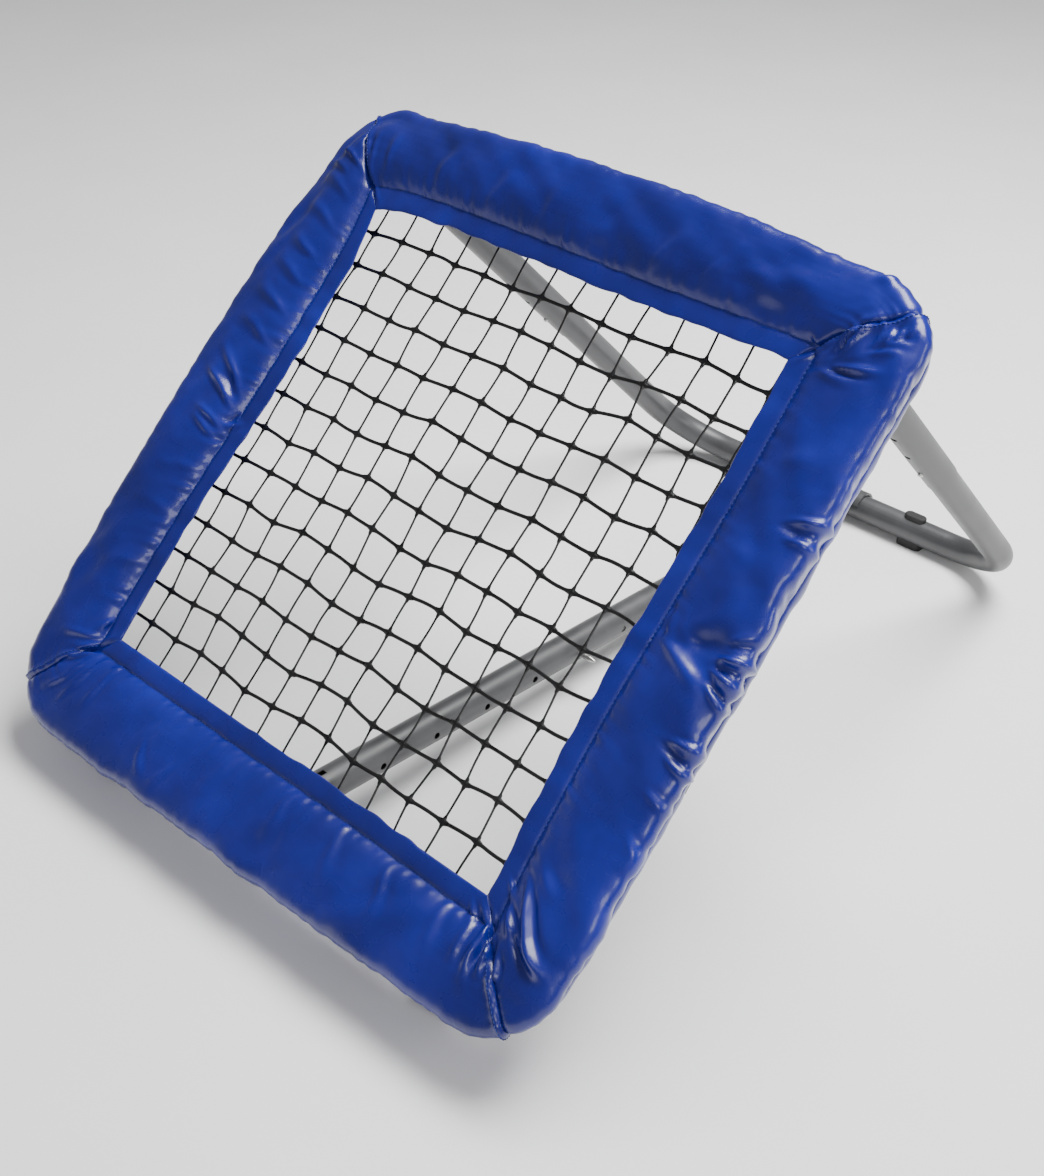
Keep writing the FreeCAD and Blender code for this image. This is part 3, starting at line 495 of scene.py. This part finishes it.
# Folds of the cover that have a fixed place, as (points in u and v, height, width). A
# negative height is a dent.
FOLDS = (
    # right pad: a dart at the hem, a collapsed patch and three pinches at the outer edge
    (((368, 40), (369, 18), (373, -6)), -3.0, 3.0),
    (((374, 34), (377, 12), (382, -4)), 1.8, 5.0),
    (((378, -2), (404, -12), (432, -24), (462, -40)), 4.0, 9.0),
    (((404, 8), (430, 16), (462, 30)), -6.5, 15.0),
    (((450, 0), (468, 3), (488, 4)), -4.0, 4.6),
    (((447, -7), (466, -9), (488, -13)), 4.5, 3.6),
    (((448, 7), (468, 12), (488, 17)), 4.5, 4.0),
    (((452, -17), (470, -24), (487, -30)), -3.6, 4.6),
    (((454, -25), (470, -34), (487, -44)), 3.6, 4.2),
    (((452, 22), (470, 30), (487, 38)), -3.5, 5.0),
    (((436, 160), (460, 165), (488, 168)), -3.4, 6.0),
    (((452, 173), (470, 177), (487, 184)), 3.4, 4.0),
    (((448, 150), (468, 152), (487, 150)), 3.4, 4.6),
    (((438, -99), (460, -102), (488, -105)), -3.2, 6.0),
    (((450, -110), (468, -114), (487, -121)), 3.6, 4.2),
    (((450, -91), (468, -90), (487, -87)), 3.2, 4.2),
    (((452, -150), (470, -156), (487, -164)), 2.0, 5.0),
    (((486, 120), (484, 88), (482, 56)), -5.0, 15.0),
    (((460, -200), (474, -214), (487, -232)), 1.8, 7.0),
    (((395, 226), (430, 236), (462, 250)), 1.6, 13.0),
    (((398, 120), (432, 112), (466, 108)), 1.6, 14.0),
    # top pad: a hollow, long soft ridges and a bump at the edge
    (((262, 372), (300, 378), (345, 392)), -4.0, 17.0),
    (((230, 402), (300, 412), (385, 428)), 2.4, 15.0),
    (((392, 448), (402, 452), (412, 455)), 3.0, 7.0),
    (((20, 372), (62, 380), (104, 374)), -3.0, 15.0),
    (((-240, 372), (-236, 402), (-222, 438)), 2.2, 8.0),
    (((-150, 369), (-138, 396), (-120, 430)), 1.8, 8.0),
    (((-60, 370), (-52, 398), (-40, 436)), 1.6, 9.0),
    (((120, 370), (132, 398), (152, 432)), 2.0, 8.0),
    (((190, 371), (204, 396), (226, 424)), 1.6, 8.0),
    # top right corner
    (((394, 350), (402, 372), (407, 386), (412, 402), (422, 420)), 4.6, 3.8),
    (((381, 352), (391, 371), (399, 390), (410, 414)), 3.2, 3.8),
    (((387, 350), (396, 371), (403, 388), (412, 406)), -2.6, 2.4),
    (((436, 380), (439, 390), (441, 402)), 3.0, 2.6),
    (((446, 389), (449, 397), (451, 408)), 3.0, 2.4),
    (((456, 398), (459, 405), (461, 412)), 2.6, 2.2),
    (((425, 372), (429, 382), (432, 396)), 2.2, 2.8),
    (((378, 333), (402, 329), (432, 328)), 3.0, 6.0),
    (((396, 342), (430, 346), (462, 352)), 2.8, 5.0),
    (((392, 337), (420, 338), (450, 341)), -2.8, 3.6),
    (((425, 366), (446, 374), (466, 378)), 2.2, 4.0),
    (((440, 382), (456, 388), (472, 391)), 1.8, 3.4),
    (((366, 352), (360, 362), (350, 374)), 2.6, 4.0),
    # bottom right corner
    (((380, -298), (401, -330), (416, -349), (436, -366), (462, -374)), 6.0, 6.2),
    (((372, -330), (384, -346), (398, -360)), 4.6, 4.2),
    (((392, -352), (420, -372), (452, -384)), -5.5, 6.0),
    (((352, -309), (362, -318), (368, -326)), 2.6, 4.0),
    (((355, -350), (362, -379), (363, -402), (370, -428)), 4.6, 5.0),
    (((372, -366), (378, -384), (379, -400), (384, -416)), 4.2, 4.0),
    (((366, -362), (371, -386), (373, -408)), -3.6, 3.4),
    (((392, -380), (400, -396), (406, -418)), 4.0, 4.0),
    (((324, -352), (332, -362), (334, -374)), 2.4, 4.0),
    (((300, -372), (304, -400), (312, -430)), 1.8, 8.0),
    (((338, -366), (342, -392), (346, -424)), 2.4, 5.0),
    (((388, -276), (408, -292), (430, -300)), 2.0, 8.0),
    # left pad: a crease at the hem with two bright ridges, and soft diagonal folds
    (((-366, 0), (-382, 15), (-404, 27), (-432, 38)), 4.2, 4.4),
    (((-364, 22), (-380, 42), (-402, 58), (-430, 76)), 3.0, 5.4),
    (((-364, 12), (-380, 28), (-404, 42)), -2.6, 4.5),
    (((-352, -2), (-356, -14), (-366, -22)), -4.0, 3.4),
    (((-340, -10), (-348, -18), (-356, -30)), 2.4, 3.4),
    (((-366, -30), (-380, -22), (-420, -14)), 3.0, 4.6),
    (((-366, -46), (-384, -38), (-418, -22)), 2.4, 5.2),
    (((-364, 98), (-393, 114), (-430, 121)), 2.4, 8.0),
    (((-364, 146), (-390, 156), (-430, 168)), 2.4, 8.0),
    (((-364, 190), (-388, 201), (-424, 216)), 2.0, 8.0),
    (((-364, 230), (-386, 236), (-416, 251)), 2.4, 7.0),
    (((-364, 276), (-392, 290), (-430, 300)), 2.0, 8.0),
    (((-366, 322), (-392, 334), (-428, 346)), 1.8, 7.0),
    (((-364, -92), (-392, -98), (-430, -112)), 1.6, 9.0),
    (((-364, -160), (-396, -158), (-432, -164)), 1.4, 10.0),
    (((-366, -236), (-394, -244), (-430, -262)), 1.6, 9.0),
    # top left corner
    (((-372, 366), (-398, 378), (-426, 384)), 2.8, 4.0),
    (((-358, 372), (-366, 398), (-370, 424)), 2.6, 4.6),
    (((-384, 352), (-412, 360), (-440, 362)), 2.0, 5.0),
    (((-330, 370), (-334, 398), (-338, 430)), 2.0, 6.0),
    # bottom left corner: folds that radiate from the inner stitch corner
    (((-354, -374), (-362, -395), (-374, -418), (-404, -450)), 3.4, 3.4),
    (((-336, -370), (-346, -408), (-364, -449)), 3.0, 3.6),
    (((-310, -368), (-311, -397), (-320, -441)), 2.6, 4.2),
    (((-362, -372), (-380, -386), (-404, -402)), 3.4, 3.0),
    (((-358, -366), (-378, -374), (-400, -388)), -3.0, 3.0),
    (((-366, -322), (-372, -334), (-374, -346)), 2.8, 4.0),
    (((-372, -352), (-396, -358), (-424, -366)), 2.4, 5.0),
    # bottom pad
    (((-194, -420), (-186, -440), (-171, -464)), 2.2, 5.0),
    (((-130, -426), (-142, -446), (-154, -466)), 1.8, 5.0),
    (((-60, -372), (-66, -404), (-80, -440)), 1.6, 9.0),
    (((40, -372), (46, -402), (40, -440)), 1.8, 8.0),
    (((130, -371), (138, -398), (150, -432)), 1.8, 8.0),
    (((210, -371), (222, -402), (232, -440)), 2.0, 7.0),
)


def fold_height(u, v, points, height, width):
    """Height of one fold at each place: a ridge with a softer hollow on one side."""
    p = np.array(points, float)
    best = np.full(u.shape, 1e9)
    across = np.zeros(u.shape)
    place = np.zeros(u.shape)
    lengths = np.linalg.norm(np.diff(p, axis=0), axis=1)
    start = np.concatenate([[0], np.cumsum(lengths)])
    for n, (a, b) in enumerate(zip(p[:-1], p[1:])):
        d = (b - a) / lengths[n]
        s = np.clip((u - a[0]) * d[0] + (v - a[1]) * d[1], 0, lengths[n])
        du, dv = u - a[0] - s * d[0], v - a[1] - s * d[1]
        far = np.hypot(du, dv)
        near = far < best
        best = np.where(near, far, best)
        across = np.where(near, np.sign(d[0] * dv - d[1] * du) * far, across)
        place = np.where(near, (start[n] + s) / start[-1], place)
    sigma = width * (0.55 + 0.7 * place)
    taper = smooth_step(place, -0.12, 0.3) * (1 - smooth_step(place, 0.55, 1.06))
    ridge = np.exp(-(across / sigma) ** 2)
    hollow = 0.42 * np.exp(-((across - 2.0 * sigma) / (1.1 * sigma)) ** 2)
    reach = np.exp(-np.maximum(best - np.abs(across), 0) ** 2 / sigma ** 2)
    return height * taper * (ridge - hollow) * reach


def simulate(grid, true, section):
    """Cloth run on the ring: the sheet is cut a little large and held at its seams."""
    rows, columns = grid.shape[:2]
    points = to_world(grid)
    index = np.arange(rows * columns).reshape(rows, columns)
    wrapped = np.concatenate([index, index[:, :1]], 1)
    faces = np.stack([wrapped[:-1, :-1], wrapped[:-1, 1:], wrapped[1:, 1:], wrapped[1:, :-1]],
                     -1).reshape(-1, 4)
    obj = make_object("cover_cloth", points, faces, VINYL)
    u, v = true[..., 0], true[..., 1]
    diagonal = np.abs(np.abs(u) - np.abs(v)) / math.sqrt(2)
    r, w = section[:, 0][:, None], section[:, 1][:, None]
    row = np.arange(rows)[:, None]
    hem = row <= nearest_row(section, HEM_SEAM)
    seam = np.abs(w - SEAM_W) < 0.6
    under = (w < -20) & (r < 479)
    edge = (r > 473) & (w > 36)
    hold = np.where(hem | under, 1.0, np.where(seam, 0.85, np.where(edge, 0.5, 0.12)))
    hold = np.maximum(hold, np.where(diagonal < 4.0, 0.85, 0.0)) + 0 * u
    group = obj.vertex_groups.new(name="held")
    for weight in np.unique(hold):
        if weight > 0:
            group.add(index[hold == weight].tolist(), float(weight), "REPLACE")
    loose = np.clip(1 - diagonal / 110.0, 0.0, 1.0) * 0.75 + 0.25 * (
        0.5 + 0.5 * waves(u + v, 5, (160.0, 240.0))) + 0 * u
    shrink = obj.vertex_groups.new(name="loose")
    levels = np.round(np.clip(loose, 0, 1) * 20) / 20
    for weight in np.unique(levels):
        shrink.add(index[levels == weight].tolist(), float(weight), "REPLACE")
    cloth = obj.modifiers.new("cloth", "CLOTH")
    settings = cloth.settings
    settings.quality = 5
    settings.mass = 0.25
    settings.tension_stiffness = 25.0
    settings.compression_stiffness = 25.0
    settings.shear_stiffness = 8.0
    settings.bending_stiffness = 4.0
    settings.vertex_group_mass = "held"
    settings.pin_stiffness = 8.0
    settings.use_pressure = True
    settings.uniform_pressure_force = 0.6
    settings.vertex_group_shrink = "loose"
    settings.shrink_min = -0.001
    settings.shrink_max = -0.035
    settings.effector_weights.gravity = 0.0
    cloth.collision_settings.use_collision = False
    cloth.collision_settings.use_self_collision = False
    cloth.point_cache.frame_start = 1
    cloth.point_cache.frame_end = CLOTH_FRAMES
    scene = bpy.context.scene
    for step in range(1, CLOTH_FRAMES + 1):
        scene.frame_set(step)
    graph = bpy.context.evaluated_depsgraph_get()
    moved = np.empty(rows * columns * 3)
    obj.evaluated_get(graph).data.vertices.foreach_get("co", moved)
    scene.frame_set(1)
    bpy.data.objects.remove(obj, do_unlink=True)
    delta = (moved.reshape(rows, columns, 3) - points) / MM
    c, s = math.cos(TILT), math.sin(TILT)
    delta = np.stack([delta[..., 0], delta[..., 1] * c + delta[..., 2] * s,
                      -delta[..., 1] * s + delta[..., 2] * c], -1)
    size = np.linalg.norm(delta, axis=-1, keepdims=True)
    calm = 0.45 + 0.55 * np.exp(-(diagonal / 90.0) ** 2)
    limited = CLOTH_LIMIT * np.tanh(size / CLOTH_LIMIT) / np.maximum(size, 1e-9)
    delta = delta * limited * calm[..., None]
    print("cloth moved", float(size.mean()), float(size.max()))
    return grid + delta


def cover_points():
    """Final grid of the cover with its folds, seams and gathers, and its stitch rows."""
    section = resample_section()
    grid, true = ring_points(section)
    placed = grid.copy()
    grid = simulate(grid, true, section)
    grid, true, placed = (refine(refine(g, 1, True), 0, False) for g in (grid, true, placed))
    section = refine(section, 0, False)
    u, v = true[..., 0], true[..., 1]
    r, w = section[:, 0][:, None] + 0 * u, section[:, 1][:, None] + 0 * u
    row = np.arange(len(section))[:, None] + 0 * u
    hem_row = nearest_row(section, HEM_SEAM)
    seam_row = nearest_row(section, SKIRT_SEAM)
    normals = grid_normals(grid, True)
    outside = (row > hem_row).astype(float)
    upper = outside * smooth_step(w, -12.0, 30.0)
    diagonal = np.abs(np.abs(u) - np.abs(v)) / math.sqrt(2)
    # sides in turn: distance along each one, for unevenness that differs from side to side
    side = np.repeat(np.arange(4), u.shape[1] // 4)[None, :] + 0 * row
    along = np.where(side % 2 == 0, u, v) + 1000.0 * side
    height = np.zeros(u.shape)
    for points, tall, width in FOLDS:
        fold = fold_height(placed[..., 0], placed[..., 1], points, tall, width)
        height += 1.22 * fold * smooth_step(w, -14.0, 26.0)
    # slack in the top, and puckers that start at the stitch lines
    slack = waves(along + 0.4 * r, 11, (150.0, 95.0)) * waves(r + 0.2 * along, 12, (120.0, 70.0))
    height += upper * 3.9 * slack * smooth_step(r, 364, 392)
    pucker = waves(along + 0.25 * r, 21, (17.0, 29.0)) * 1.1
    height += outside * pucker * np.exp(-np.abs(r - 367.0) / 13.0) * smooth_step(w, 24, 30)
    pucker = waves(along - 0.2 * w, 22, (23.0, 41.0)) * 1.5
    height += outside * pucker * np.exp(-np.abs(w - 26.0) / 16.0) * smooth_step(r, 455, 476)
    pucker = waves(r * 1.3 + 600.0 * side, 23, (15.0, 26.0)) * 1.3
    height += upper * pucker * np.exp(-diagonal / 14.0) * smooth_step(r, 366, 384)
    # mitre seams: a sewn valley with a lapped ridge on one side of it
    turn = np.where(np.arange(u.shape[1]) % (u.shape[1] // 4) < u.shape[1] // 8, 1.0, -1.0)
    signed = diagonal * turn[None, :]
    above = smooth_step(w, -14.0, 6.0)
    height -= 2.9 * np.exp(-(diagonal / 2.8) ** 2) * above * smooth_step(r, 340, 352)
    height += 2.2 * np.exp(-((signed - 6.5) / 3.2) ** 2) * above * smooth_step(r, 340, 352)
    # hem: a fold of cloth with a wavy inner edge
    flat_hem = (row <= hem_row).astype(float)
    height += flat_hem * 0.7 * waves(along, 31, (38.0, 64.0))
    # skirt below its seam: gathered, so that it hangs in shallow waves
    hang = smooth_step(SEAM_W - w, 1.0, 34.0) * smooth_step(r, 455, 470)
    gather = waves(along, 41, (150.0, 88.0, 52.0))
    height += hang * 4.0 * gather
    grid = grid + normals * height[..., None]
    drop = waves(along, 42, (170.0, 96.0, 60.0)) * 5.0
    grid[..., 2] += hang * drop
    inward = flat_hem * waves(along, 32, (120.0, 55.0)) * 1.6 * smooth_step(361 - r, 4, 22)
    out = true[..., :2] / np.maximum(np.abs(true[..., :2]).max(-1, keepdims=True), 1e-9)
    grid[..., :2] += out * inward[..., None]
    return grid, hem_row, seam_row


def stitch_row(name, line, normals, pitch, length, radius):
    """Row of small raised stitches along a line of points in the leaning frame."""
    steps = np.linalg.norm(np.diff(line, axis=0), axis=1)
    run = np.concatenate([[0], np.cumsum(steps)])
    count = max(2, int(run[-1] / pitch))
    centres = (np.arange(count) + 0.5) * run[-1] / count
    ends = []
    for offset in (-0.5, 0.0, 0.5):
        ends.append(np.stack([np.interp(centres + offset * length, run, line[:, k])
                              for k in range(3)], -1))
    lift = np.stack([np.interp(centres, run, normals[:, k]) for k in range(3)], -1)
    lift /= np.linalg.norm(lift, axis=1, keepdims=True)
    tangent = ends[2] - ends[0]
    tangent /= np.linalg.norm(tangent, axis=1, keepdims=True)
    side = np.cross(tangent, lift)
    shape = ((-0.5, 0.15, -0.5), (-0.4, 0.7, 0.1), (-0.15, 1.0, 0.55), (0.15, 1.0, 0.55),
             (0.4, 0.7, 0.1), (0.5, 0.15, -0.5))
    around = 6
    vertices = []
    for place, size, up in shape:
        base = ends[1] + tangent * (place * length) + lift * (up * radius)
        for n in range(around):
            angle = 2 * math.pi * n / around
            vertices.append(base + (side * math.cos(angle) + lift * math.sin(angle))
                            * radius * size)
    vertices = np.stack(vertices, 1)
    rings = len(shape)
    faces = []
    for a in range(rings - 1):
        for n in range(around):
            m = (n + 1) % around
            faces.append((a * around + n, (a + 1) * around + n, (a + 1) * around + m,
                          a * around + m))
    caps = [tuple(range(around)), tuple((rings - 1) * around + n
                                        for n in reversed(range(around)))]
    every = []
    for k in range(count):
        start = k * rings * around
        every += [tuple(start + i for i in face) for face in faces + caps]
    return make_object(name, to_world(vertices.reshape(-1, 3)), every, THREAD)


def build_cover():
    """Four sewn panels round the pads, with their linings and stitches."""
    grid, hem_row, seam_row = cover_points()
    normals = grid_normals(grid, True)
    columns = grid.shape[1]
    quarter = columns // 4
    for number, side in enumerate(SIDES):
        pick = np.arange(number * quarter, (number + 1) * quarter + 1) % columns
        panel = thick_panel("pad_" + side, grid[:, pick], normals[:, pick], COVER_THICK, VINYL)
        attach(panel, "frame")
        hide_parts("cover_" + side, "foam_" + side)
        lining = lining_panel(side, number)
        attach(lining, "frame")
        inner = pick[3:-3]
        rows = [("hem", grid[hem_row, inner], normals[hem_row, inner]),
                ("skirt", grid[seam_row, inner], normals[seam_row, inner])]
        mitre = np.arange(hem_row + 2, seam_row - 1)
        edge = (number * quarter + 2) % columns
        rows.append(("mitre", grid[mitre, edge], normals[mitre, edge]))
        for kind, line, up in rows:
            pitch = STITCH_PITCH if kind != "mitre" else MITRE_PITCH
            stitches = stitch_row("stitches_%s_%s" % (kind, side), line, up, pitch,
                                  STITCH_LENGTH, STITCH_RADIUS)
            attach(stitches, "frame")


def lining_panel(side, number):
    """Underside of one pad: a sheet that closes the cover behind the foam."""
    rows = np.linspace(337.0, 479.0, 22)
    t = np.linspace(-1, 1, 120)
    rho = np.maximum(0.0, rows - CORNER_START)[:, None]
    straight = rows[:, None] - rho
    run = (straight + math.pi / 4 * rho) * t
    past = np.maximum(np.abs(run) - straight, 0.0)
    angle = np.where(rho > 0, past / np.maximum(rho, 1e-9), 0.0)
    along = np.sign(run) * (np.minimum(np.abs(run), straight) + rho * np.sin(angle))
    out = straight + rho * np.cos(angle)
    slack = waves(along + 0.3 * out + 900 * number, 51, (70.0, 110.0))
    middle = np.sin(math.pi * np.clip((rows - 345) / 130, 0, 1))[:, None]
    off_tube = 1 - np.exp(-((out - 407.0) / 22.0) ** 2)
    w = 24.6 - 1.2 * middle * off_tube * (0.6 + 0.6 * slack)
    place = (number + 0.5 + 0.5 * t) * ALONG
    upper, skirt, slew = (np.interp(place, np.arange(4 * ALONG + 1), np.append(line, line[0]))
                          for line in (even_out(table)[0] for table in (UPPER, SKIRT, SLEW)))
    near_edge = smooth_step(rows, 396.0, 474.0)[:, None]
    grow = 1 + near_edge * (np.minimum(upper, skirt) - LINING_INSIDE) / rows[:, None]
    along, out = along * grow, out * grow
    turn = slew * smooth_step(rows, 361.0, 462.0)[:, None] / np.hypot(along, out)
    along, out = along + out * turn, out - along * turn
    points = on_side(side, along, out, w)
    return thick_panel("lining_" + side, points, grid_normals(points, False), LINING_THICK, VINYL)


build_cover()


# ---------------------------------------------------------------- net
def net_nodes():
    """Crossings of the mesh in u, v and w, pulled a little out of true."""
    pick = np.random.default_rng(7)
    u = NET_SHIFT + CELL * (np.arange(COLUMNS + 1) - COLUMNS / 2)
    v = CELL * (np.arange(ROWS + 1) - ROWS / 2)
    nodes = np.zeros((COLUMNS + 1, ROWS + 1, 3))
    nodes[..., 0] = u[:, None]
    nodes[..., 1] = v[None, :]
    inside = np.zeros((COLUMNS + 1, ROWS + 1))
    inside[1:-1, 1:-1] = 1.0
    nodes[..., 0] += inside * (3.4 * waves(v[None, :] + 0.5 * u[:, None], 61, (260.0, 140.0))
                               + pick.normal(0, 1.3, inside.shape))
    nodes[..., 1] += inside * (4.2 * waves(u[:, None] - 0.4 * v[None, :], 62, (230.0, 150.0))
                               + pick.normal(0, 1.3, inside.shape))
    nodes[..., 2] += inside * (1.6 * waves(u[:, None] + v[None, :], 63, (180.0, 110.0)))
    return nodes


def strand(path, widths, thick, around=8):
    """Vertices and faces of a strand with an oval section along path; widths per point."""
    path = np.asarray(path, float)
    tangent = np.gradient(path, axis=0)
    tangent /= np.linalg.norm(tangent, axis=1, keepdims=True)
    out = np.array([0.0, 0.0, 1.0])
    side = np.cross(tangent, out)
    side /= np.linalg.norm(side, axis=1, keepdims=True)
    angles = 2 * math.pi * np.arange(around) / around
    ring = (side[:, None] * (np.cos(angles)[None, :, None] * widths[:, None, None] / 2)
            + out * (np.sin(angles)[None, :, None] * thick[:, None, None] / 2))
    vertices = (path[:, None] + ring).reshape(-1, 3)
    faces = []
    for a in range(len(path) - 1):
        for n in range(around):
            m = (n + 1) % around
            faces.append((a * around + n, a * around + m, (a + 1) * around + m,
                          (a + 1) * around + n))
    faces.append(tuple(reversed(range(around))))
    faces.append(tuple((len(path) - 1) * around + n for n in range(around)))
    return vertices, faces


def build_net():
    """Extruded plastic mesh: drawn strands that widen into a rounded knot at each crossing."""
    nodes = net_nodes()
    vertices, faces = [], []
    pick = np.random.default_rng(8)

    def add(new_vertices, new_faces):
        start = sum(len(block) for block in vertices)
        vertices.append(new_vertices)
        faces.extend(tuple(start + i for i in face) for face in new_faces)

    def run(line, thin, heavy):
        steps = 12
        path, widths, thick = [], [], []
        for n, (a, b) in enumerate(zip(line[:-1], line[1:])):
            bow = pick.normal(0, 0.7, 2)
            for k in range(steps + (n == len(line) - 2)):
                t = k / steps
                point = a + (b - a) * t
                point = point + np.array([bow[0], bow[1], 0]) * math.sin(math.pi * t)
                near = min(t, 1 - t) * CELL
                flare = math.exp(-(near / 4.6) ** 2)
                path.append(point)
                widths.append(thin + heavy * flare)
                thick.append(2.3 + 0.9 * flare)
        add(*strand(np.array(path), np.array(widths), np.array(thick)))

    for i in range(COLUMNS + 1):
        edge = i in (0, COLUMNS)
        run(nodes[i], 4.6 if edge else 3.2, 6.0)
    for j in range(ROWS + 1):
        run(nodes[:, j], 4.7, 5.4)
    web = knot_web()
    for i in range(COLUMNS + 1):
        for j in range(ROWS + 1):
            add(web[0] + nodes[i, j], web[1])
    net = make_object("mesh_net", to_world(np.concatenate(vertices)), faces, NET)
    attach(net, "frame")
    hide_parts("net")


def knot_web():
    """Four-cornered star of plastic that fills the corners between two crossing strands."""
    vertices, faces = [(0.0, 0.0, 1.9)], []
    around, rings = 32, 3
    for n in range(1, rings + 1):
        for k in range(around):
            angle = 2 * math.pi * k / around
            reach = 4.3 + 4.4 * abs(math.cos(2 * angle)) ** 2.2
            share = n / rings
            vertices.append((reach * share * math.cos(angle), reach * share * math.sin(angle),
                             1.9 * (1 - share ** 2.4)))
    top = len(vertices)
    vertices += [(x, y, -z) for x, y, z in vertices[:top - around]]
    for k in range(around):
        m = (k + 1) % around
        faces.append((0, 1 + k, 1 + m))
        faces.append((top, top + 1 + m, top + 1 + k))
        for n in range(rings - 1):
            a, b = 1 + n * around, 1 + (n + 1) * around
            faces.append((a + k, b + k, b + m, a + m))
            c = top + a
            d = top + b if n < rings - 2 else b
            faces.append((c + m, d + m, d + k, c + k))
    return np.array(vertices), faces


build_net()


# ---------------------------------------------------------------- straps
def smooth_path(points):
    """Path with rounded corners through the given points (Chaikin's rule)."""
    path = np.array(points, float)
    for _ in range(3):
        a, b = path[:-1], path[1:]
        inner = np.stack([a * 0.75 + b * 0.25, a * 0.25 + b * 0.75], 1).reshape(-1, 2)
        path = np.concatenate([path[:1], inner, path[-1:]])
    return path


def build_straps():
    """Elastic webbing from the hem round the back of the frame tube to the skirt."""
    route = ((337.0, 23.0), (346.0, 22.8), (379.6, -21.7), (422.2, -22.2))
    across = np.linspace(-STRAP_HALF, STRAP_HALF, 9)
    skirt = even_out(SKIRT)[0]
    for number, side in enumerate(SIDES):
        blocks, faces, start = [], [], 0
        offset = STRAP_OFFSET[side]
        for place in (-offset, offset):
            column = int((number + 0.5 + place / (2 * OUTER)) * ALONG)
            end = 479.5 + skirt[column] - 4.0
            path = smooth_path(route + ((end, -16.0),))
            along = place + across[None, :] + 0.5 * waves(path[:, :1], 71, (30.0,))
            out = path[:, :1] + 0 * along
            w = path[:, 1:] + 0.25 * np.cos(across / STRAP_HALF * math.pi)[None, :] + 0 * along
            points = on_side(side, along, out, w)
            block, block_faces = closed_sheet(points, grid_normals(points, False),
                                              STRAP_THICK, start)
            blocks.append(block)
            faces.append(block_faces)
            start += len(block)
        strap = make_object("straps_" + side, to_world(np.concatenate(blocks)),
                            np.concatenate(faces), WEBBING)
        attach(strap, "frame")
        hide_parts("cover_straps_" + side)


build_straps()


# ---------------------------------------------------------------- locking pin
def build_lock_pin():
    """Spring pin: a rounded pin on a bent leaf, fixed to the strut slider. The real pin sinks
    into the tube as the strut slides; this one stays put on the slider.
    """
    low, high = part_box("lock_pin")
    middle = (low + high) / 2
    mesh = bmesh.new()
    radius = 0.0045
    outline = ((low.x + 0.001, 0.0), (low.x + 0.001, 0.0062), (low.x + 0.0032, 0.0062),
               (low.x + 0.0036, radius), (high.x - 0.0118, radius), (high.x - 0.0104, 0.0043),
               (high.x - 0.004, 0.0026), (high.x - 0.001, 0.0014), (high.x, 0.0))
    around = 28
    rings = []
    for x, r in outline:
        if r == 0.0:
            rings.append([mesh.verts.new((x, middle.y, middle.z))])
        else:
            rings.append([mesh.verts.new((x, middle.y + r * math.cos(2 * math.pi * k / around),
                                          middle.z + r * math.sin(2 * math.pi * k / around)))
                          for k in range(around)])
    for a, b in zip(rings[:-1], rings[1:]):
        for k in range(around):
            m = (k + 1) % around
            corners = [a[k % len(a)], a[m % len(a)], b[m % len(b)], b[k % len(b)]]
            corners = list(dict.fromkeys(corners))
            mesh.faces.new(corners)
    along = Vector((0.0, 0.998831, -0.048347))
    up = Vector((0.0, 0.048347, 0.998831))
    centre = Vector((low.x + 0.001, middle.y, middle.z))
    length, half, thick, steps = 0.070, 0.006, 0.0016, 24
    rows = []
    for n in range(steps + 1):
        t = n / steps - 0.5
        lift = 0.0022 * (2 * t) ** 2
        width = half * (1 - 0.35 * abs(2 * t) ** 6)
        base = centre + along * (t * length)
        rows.append([mesh.verts.new(base + up * (s * width) + Vector((lift + x, 0, 0)))
                     for s, x in ((-1, 0), (1, 0), (1, thick), (-1, thick))])
    for a, b in zip(rows[:-1], rows[1:]):
        for k in range(4):
            m = (k + 1) % 4
            mesh.faces.new((a[k], b[k], b[m], a[m]))
    mesh.faces.new(rows[0])
    mesh.faces.new(rows[-1][::-1])
    bmesh.ops.recalc_face_normals(mesh, faces=mesh.faces)
    data = bpy.data.meshes.new("spring_pin")
    mesh.to_mesh(data)
    mesh.free()
    data.materials.append(ZINC)
    pin = bpy.data.objects.new("spring_pin", data)
    bpy.context.scene.collection.objects.link(pin)
    bevel = pin.modifiers.new("soft_edges", "BEVEL")
    bevel.width = 0.0004
    bevel.segments = 2
    flat_mesh(pin)
    for face in pin.data.polygons:
        face.use_smooth = True
    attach(pin, "strut_slider")
    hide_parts("lock_pin")
    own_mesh(pin)


build_lock_pin()


# ---------------------------------------------------------------- studio
def area_light(name, place, target, size, power, colour=(1.0, 1.0, 1.0)):
    light = bpy.data.lights.new(name, "AREA")
    light.shape = "RECTANGLE"
    light.size, light.size_y = size
    light.energy = power
    light.color = colour
    obj = bpy.data.objects.new(name, light)
    bpy.context.scene.collection.objects.link(obj)
    aim = Vector(target) - Vector(place)
    obj.matrix_world = look_from(place, aim, (0, 0, 1) if abs(aim.normalized().z) < 0.95
                                 else (0, 1, 0))
    return obj


floor = make_object("floor", [(-15, -15, 0), (15, -15, 0), (15, 15, 0), (-15, 15, 0)],
                    [(0, 1, 2, 3)], floor_material(), smooth=False)
area_light("overhead", (0.6, 1.2, 3.6), (0.0, 0.2, 0.2), (2.5, 1.9), 325)
area_light("front", (2.2, -2.6, 2.6), (0.0, 0.0, 0.35), (1.4, 1.2), 45)
area_light("side", (3.0, 0.6, 1.4), (0.0, 0.0, 0.35), (0.8, 1.6), 28)
world = bpy.data.worlds.new("studio")
world.use_nodes = True
world.node_tree.nodes["Background"].inputs["Color"].default_value = (1.0, 1.0, 1.0, 1.0)
world.node_tree.nodes["Background"].inputs["Strength"].default_value = 0.27
bpy.context.scene.world = world
